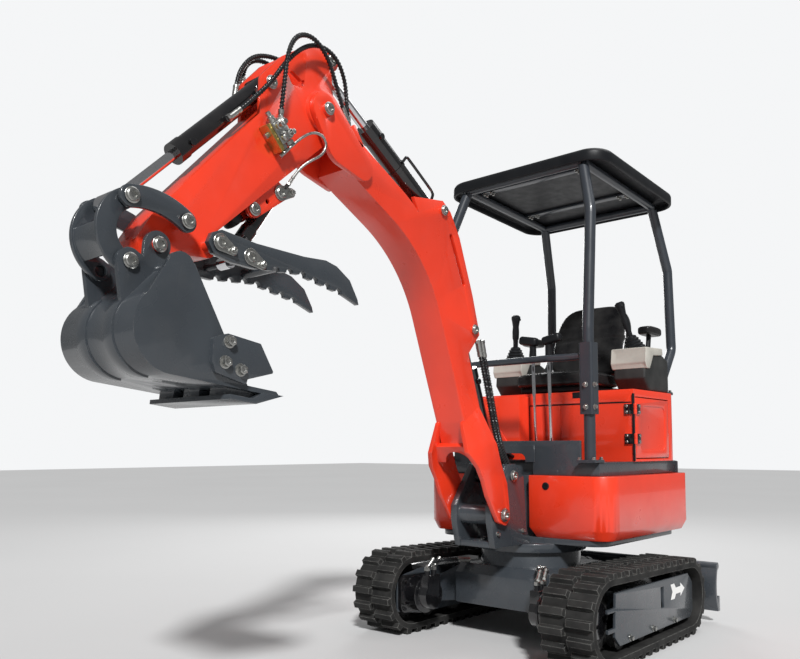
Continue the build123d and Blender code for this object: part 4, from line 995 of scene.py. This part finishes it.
class OBJECT_OT_excavator_trim(bpy.types.Operator):
    """Add the hinges, seal, lock, bar, pedal, toe plate, canopy straps, seams, floor mat and vent mesh"""

    bl_idname = "object.excavator_trim"
    bl_label = "House Trim"

    def execute(self, context):
        self.hinges()
        strip = slab((10, 10, 318), spot(-196, 449, 970), 0.002)
        dress(strip, "seal_strip", "house", "black_plastic")
        lock = turned(17, [(3, 17), (2, 14), (0, 9), (-2, 8)], 24)
        dress(place(lock, pointing(mm(172, 190, 700), AHEAD)), "cowl_lock", "house", "black_plastic")
        bar = slab((8, 26, 250), spot(-98, -262, 985) @ rotated(34, "X"), 0.002)
        dress(bar, "box_stiffener", "house", "red_paint")
        pedal = slab((90, 60, 12), spot(-60, -180, 842) @ rotated(-18, "Y"), 0.003)
        post = pipe([mm(-90, -180, 808), mm(-84, -180, 824), mm(-70, -180, 838)], 8)
        dress(join([pedal, post]), "foot_pedal", "house", "black_plastic")
        self.toe_plate()
        self.canopy_straps()
        self.seams()
        self.mat()
        self.mesh()
        return {"FINISHED"}

    def toe_plate(self):
        turns = [pi / 2 * i / 6 for i in range(7)]
        arch = [(-TOE_ARCH[0] + TOE_ROUND * (1 - cos(t)), TOE_ARCH[1] - TOE_ROUND * (1 - sin(t)))
                for t in turns]
        arch += [(-y, z) for y, z in reversed(arch)]
        half, top, low = TOE_PLATE
        sheet = plate([(half, low), (half, top), (-half, top), (-half, low), (-TOE_ARCH[0], low), *arch,
                       (TOE_ARCH[0], low)], 4)
        stand = rotated(90, "Z") @ rotated(90, "X")
        dress(place(sheet, spot(140, 0, 0) @ stand), "toe_plate", "house", "grey_paint")

    def canopy_straps(self):
        straps, bolts = [], []
        for x, z in CANOPY_STRAPS:
            stand = spot(x, 0, z) @ rotated(-CANOPY_LEAN, "Y")
            straps.append(slab((42, 640, 12), stand, 0.002))
            bolts += [(stand @ mm(dx, y, -6), -UP) for dx in (-12, 12) for y in (-290, -250, 250, 290)]
        dress(join(straps), "canopy_straps", "house", "post_paint")
        dress(copies(hex_bolt(14), bolts), "canopy_bolts", "house", "zinc")

    def seams(self):
        strips = [slab((4, 556, 5), spot(-199.5, 158, 1088), 0.001),
                  slab((4, 5, 280), spot(-199.5, -119, 948), 0.001),
                  slab((4, 120, 30), spot(-199.5, 190, 1133), 0.003)]
        dress(join(strips), "seat_base_seams", "house", "black_plastic")

    def hinges(self):
        bolts = {"house": [], "side_door": []}
        leaves = {"house": [], "side_door": []}
        for z in HINGE_HEIGHTS:
            leaves["house"].append(slab((3, 40, 48), spot(-192.5, 425, z), 0.001))
            leaves["side_door"].append(slab((34, 3, 48), spot(-236, 457.5, z), 0.001))
            for dz in (-14, 14):
                bolts["house"].append((mm(-191, 416, z + dz), AHEAD))
                bolts["side_door"].append((mm(-242, 459, z + dz), LEFT))
        for body in bolts:
            dress(join(leaves[body]), f"hinge_plates_{body}", body, "black_paint")
            screw = turned(7, [(2, 7), (2, 5)], 12)
            dress(copies(screw, bolts[body]), f"hinge_screws_{body}", body, "zinc")

    def mat(self):
        mat = slab((190, 640, 5), spot(20, 0, 810.5), 0.0)
        pick_faces(mat, lambda face: face.normal.z > 0.9)
        bpy.ops.mesh.subdivide(number_cuts=MAT_RIBS)
        leave_edit()
        pick_faces(mat, lambda face: face.normal.z > 0.9)
        bpy.ops.mesh.inset(thickness=0.0016, use_individual=True)
        bpy.ops.transform.translate(value=(0.0, 0.0, 0.0015))
        leave_edit()
        dress(mat, "floor_mat", "house", "black_plastic")

    def mesh(self):
        for name, middle, turn, width in VENTS:
            clear_selection()
            bpy.ops.mesh.primitive_grid_add(x_subdivisions=width // VENT_PITCH,
                                            y_subdivisions=VENT_HEIGHT // VENT_PITCH, size=1.0)
            grid = bpy.context.object
            grid.scale = mm(width, VENT_HEIGHT, 1)
            settle(grid)
            apply_modifier(grid, "WIREFRAME", thickness=0.0025, use_boundary=True)
            place(grid, spot(*middle) @ rotated(90 - turn, "Z") @ rotated(90, "X"))
            dress(grid, f"vent_mesh_{name}", "house", "black_plastic")


# Marking

ARROW = [(-82, 0), (-34, 30), (-34, 14), (20, 14), (36, 34), (78, 34), (58, 0), (78, -34), (36, -34),
         (20, -14), (-34, -14), (-34, -30)]


class OBJECT_OT_excavator_marking(bpy.types.Operator):
    """Paint the feathered arrow on each track's outer plate"""

    bl_idname = "object.excavator_marking"
    bl_label = "Arrow"

    def execute(self, context):
        arrows = []
        for side in (1, -1):
            arrow = plate([(x, -side * z) for x, z in ARROW], 0.5, 0.0)
            arrows.append(place(arrow, spot(-295, side * 596.9, 222) @ rotated(-side * 90, "X")))
        dress(join(arrows), "track_arrows", "undercarriage", "white_marking")
        return {"FINISHED"}


# Stage

SENSOR_WIDTH = 36.0
VIEW_DEPTH = 200.0
FLOOR_SIZE = 60.0
KEY_DISTANCE = 8.0
# Name, place, size, power
SOFT_LIGHTS = (("sky_light", (-2.0, 1.0, 6.5), 4.0, 110.0), ("rim_light", (-4.0, -4.0, 3.5), 2.0, 90.0))
LIT_POINT = Vector((0.5, 0.0, 1.0))
BACKDROP_TINT = (0.98, 0.99, 1.0, 1.0)


class OBJECT_OT_excavator_stage(bpy.types.Operator):
    """Set the camera, the pale floor and the soft studio light"""

    bl_idname = "object.excavator_stage"
    bl_label = "Stage"

    def execute(self, context):
        studio = context.scene.excavator_studio
        clear_selection()
        bpy.ops.object.camera_add(location=studio.camera_place)
        camera = context.object
        camera.name = "photo_camera"
        heading = Vector((cos(studio.camera_rise) * cos(studio.camera_turn),
                          cos(studio.camera_rise) * sin(studio.camera_turn), sin(studio.camera_rise)))
        camera.rotation_euler = heading.to_track_quat("-Z", "Y").to_euler()
        camera.data.sensor_width = SENSOR_WIDTH
        camera.data.lens = studio.lens
        camera.data.shift_y = studio.shift
        camera.data.clip_end = VIEW_DEPTH
        context.scene.camera = camera

        bpy.ops.mesh.primitive_plane_add(size=FLOOR_SIZE)
        floor = context.object
        floor.name = "studio_floor"
        f = Finish("studio_floor")
        patches = f.spread(f.noise(0.4), 0.0, 1.0)
        f.colour(f.blend(patches, studio.floor_colour, shade(studio.floor_colour, 0.97)))
        floor.data.materials.append(f.set(Roughness=0.9).material)

        context.scene.world = self.light_from_all_round(studio)
        bpy.ops.object.light_add(type="SUN", location=Vector(studio.key_side) * KEY_DISTANCE)
        key = context.object
        key.name = "key_light"
        key.data.energy = studio.key
        key.data.angle = studio.key_spread
        key.rotation_euler = (-Vector(studio.key_side)).to_track_quat("-Z", "Y").to_euler()
        for name, stand, size, power in SOFT_LIGHTS:
            bpy.ops.object.light_add(type="AREA", location=stand)
            light = context.object
            light.name = name
            light.data.size = size
            light.data.energy = power
            light.rotation_euler = (LIT_POINT - light.location).to_track_quat("-Z", "Y").to_euler()
        context.scene.view_settings.view_transform = "Standard"
        return {"FINISHED"}

    def light_from_all_round(self, studio):
        """World with a bright plain backdrop and a weaker even light."""
        world = bpy.data.worlds.new("studio_light")
        world.use_nodes = True
        nodes, links = world.node_tree.nodes, world.node_tree.links
        seen, strength = nodes.new("ShaderNodeLightPath"), nodes.new("ShaderNodeMapRange")
        strength.inputs["To Min"].default_value = studio.ambient
        strength.inputs["To Max"].default_value = studio.backdrop
        links.new(seen.outputs["Is Camera Ray"], strength.inputs["Value"])
        links.new(strength.outputs["Result"], nodes["Background"].inputs["Strength"])
        nodes["Background"].inputs["Color"].default_value = BACKDROP_TINT
        return world


class VIEW3D_PT_excavator(bpy.types.Panel):
    """Sizes, colours and pieces of the mini excavator"""

    bl_idname = "VIEW3D_PT_excavator"
    bl_label = "Mini Excavator"
    bl_space_type = "VIEW_3D"
    bl_region_type = "UI"
    bl_category = "Excavator"

    def draw(self, context):
        scene = context.scene
        for group in (scene.excavator_paint, scene.excavator_fittings, scene.excavator_studio):
            for name in group.bl_rna.properties.keys():
                if name not in {"rna_type", "name"}:
                    self.layout.prop(group, name)
        for operator in OPERATORS:
            self.layout.operator(operator.bl_idname)


OPERATORS = (OBJECT_OT_excavator_stage, OBJECT_OT_excavator_hoses, OBJECT_OT_excavator_plates,
             OBJECT_OT_excavator_finish_frame, OBJECT_OT_excavator_pins, OBJECT_OT_excavator_bolts,
             OBJECT_OT_excavator_fittings, OBJECT_OT_excavator_seat, OBJECT_OT_excavator_controls,
             OBJECT_OT_excavator_trim, OBJECT_OT_excavator_marking)
GROUPS = {"excavator_paint": ExcavatorPaint, "excavator_fittings": ExcavatorFittings,
          "excavator_studio": ExcavatorStudio}
CLASSES = (*GROUPS.values(), *OPERATORS, VIEW3D_PT_excavator)


def register():
    for cls in CLASSES:
        bpy.utils.register_class(cls)
    for name, group in GROUPS.items():
        setattr(bpy.types.Scene, name, PointerProperty(type=group))


def unregister():
    for name in GROUPS:
        delattr(bpy.types.Scene, name)
    for cls in reversed(CLASSES):
        bpy.utils.unregister_class(cls)


def main():
    register()
    bpy.ops.object.excavator_stage()
    bpy.ops.object.excavator_hoses()
    bpy.ops.object.excavator_plates()
    bpy.ops.object.excavator_finish_frame()
    bpy.ops.object.excavator_pins()
    bpy.ops.object.excavator_bolts()
    bpy.ops.object.excavator_fittings()
    bpy.ops.object.excavator_seat()
    bpy.ops.object.excavator_controls()
    bpy.ops.object.excavator_trim()
    bpy.ops.object.excavator_marking()


if __name__ == "__main__":
    main()
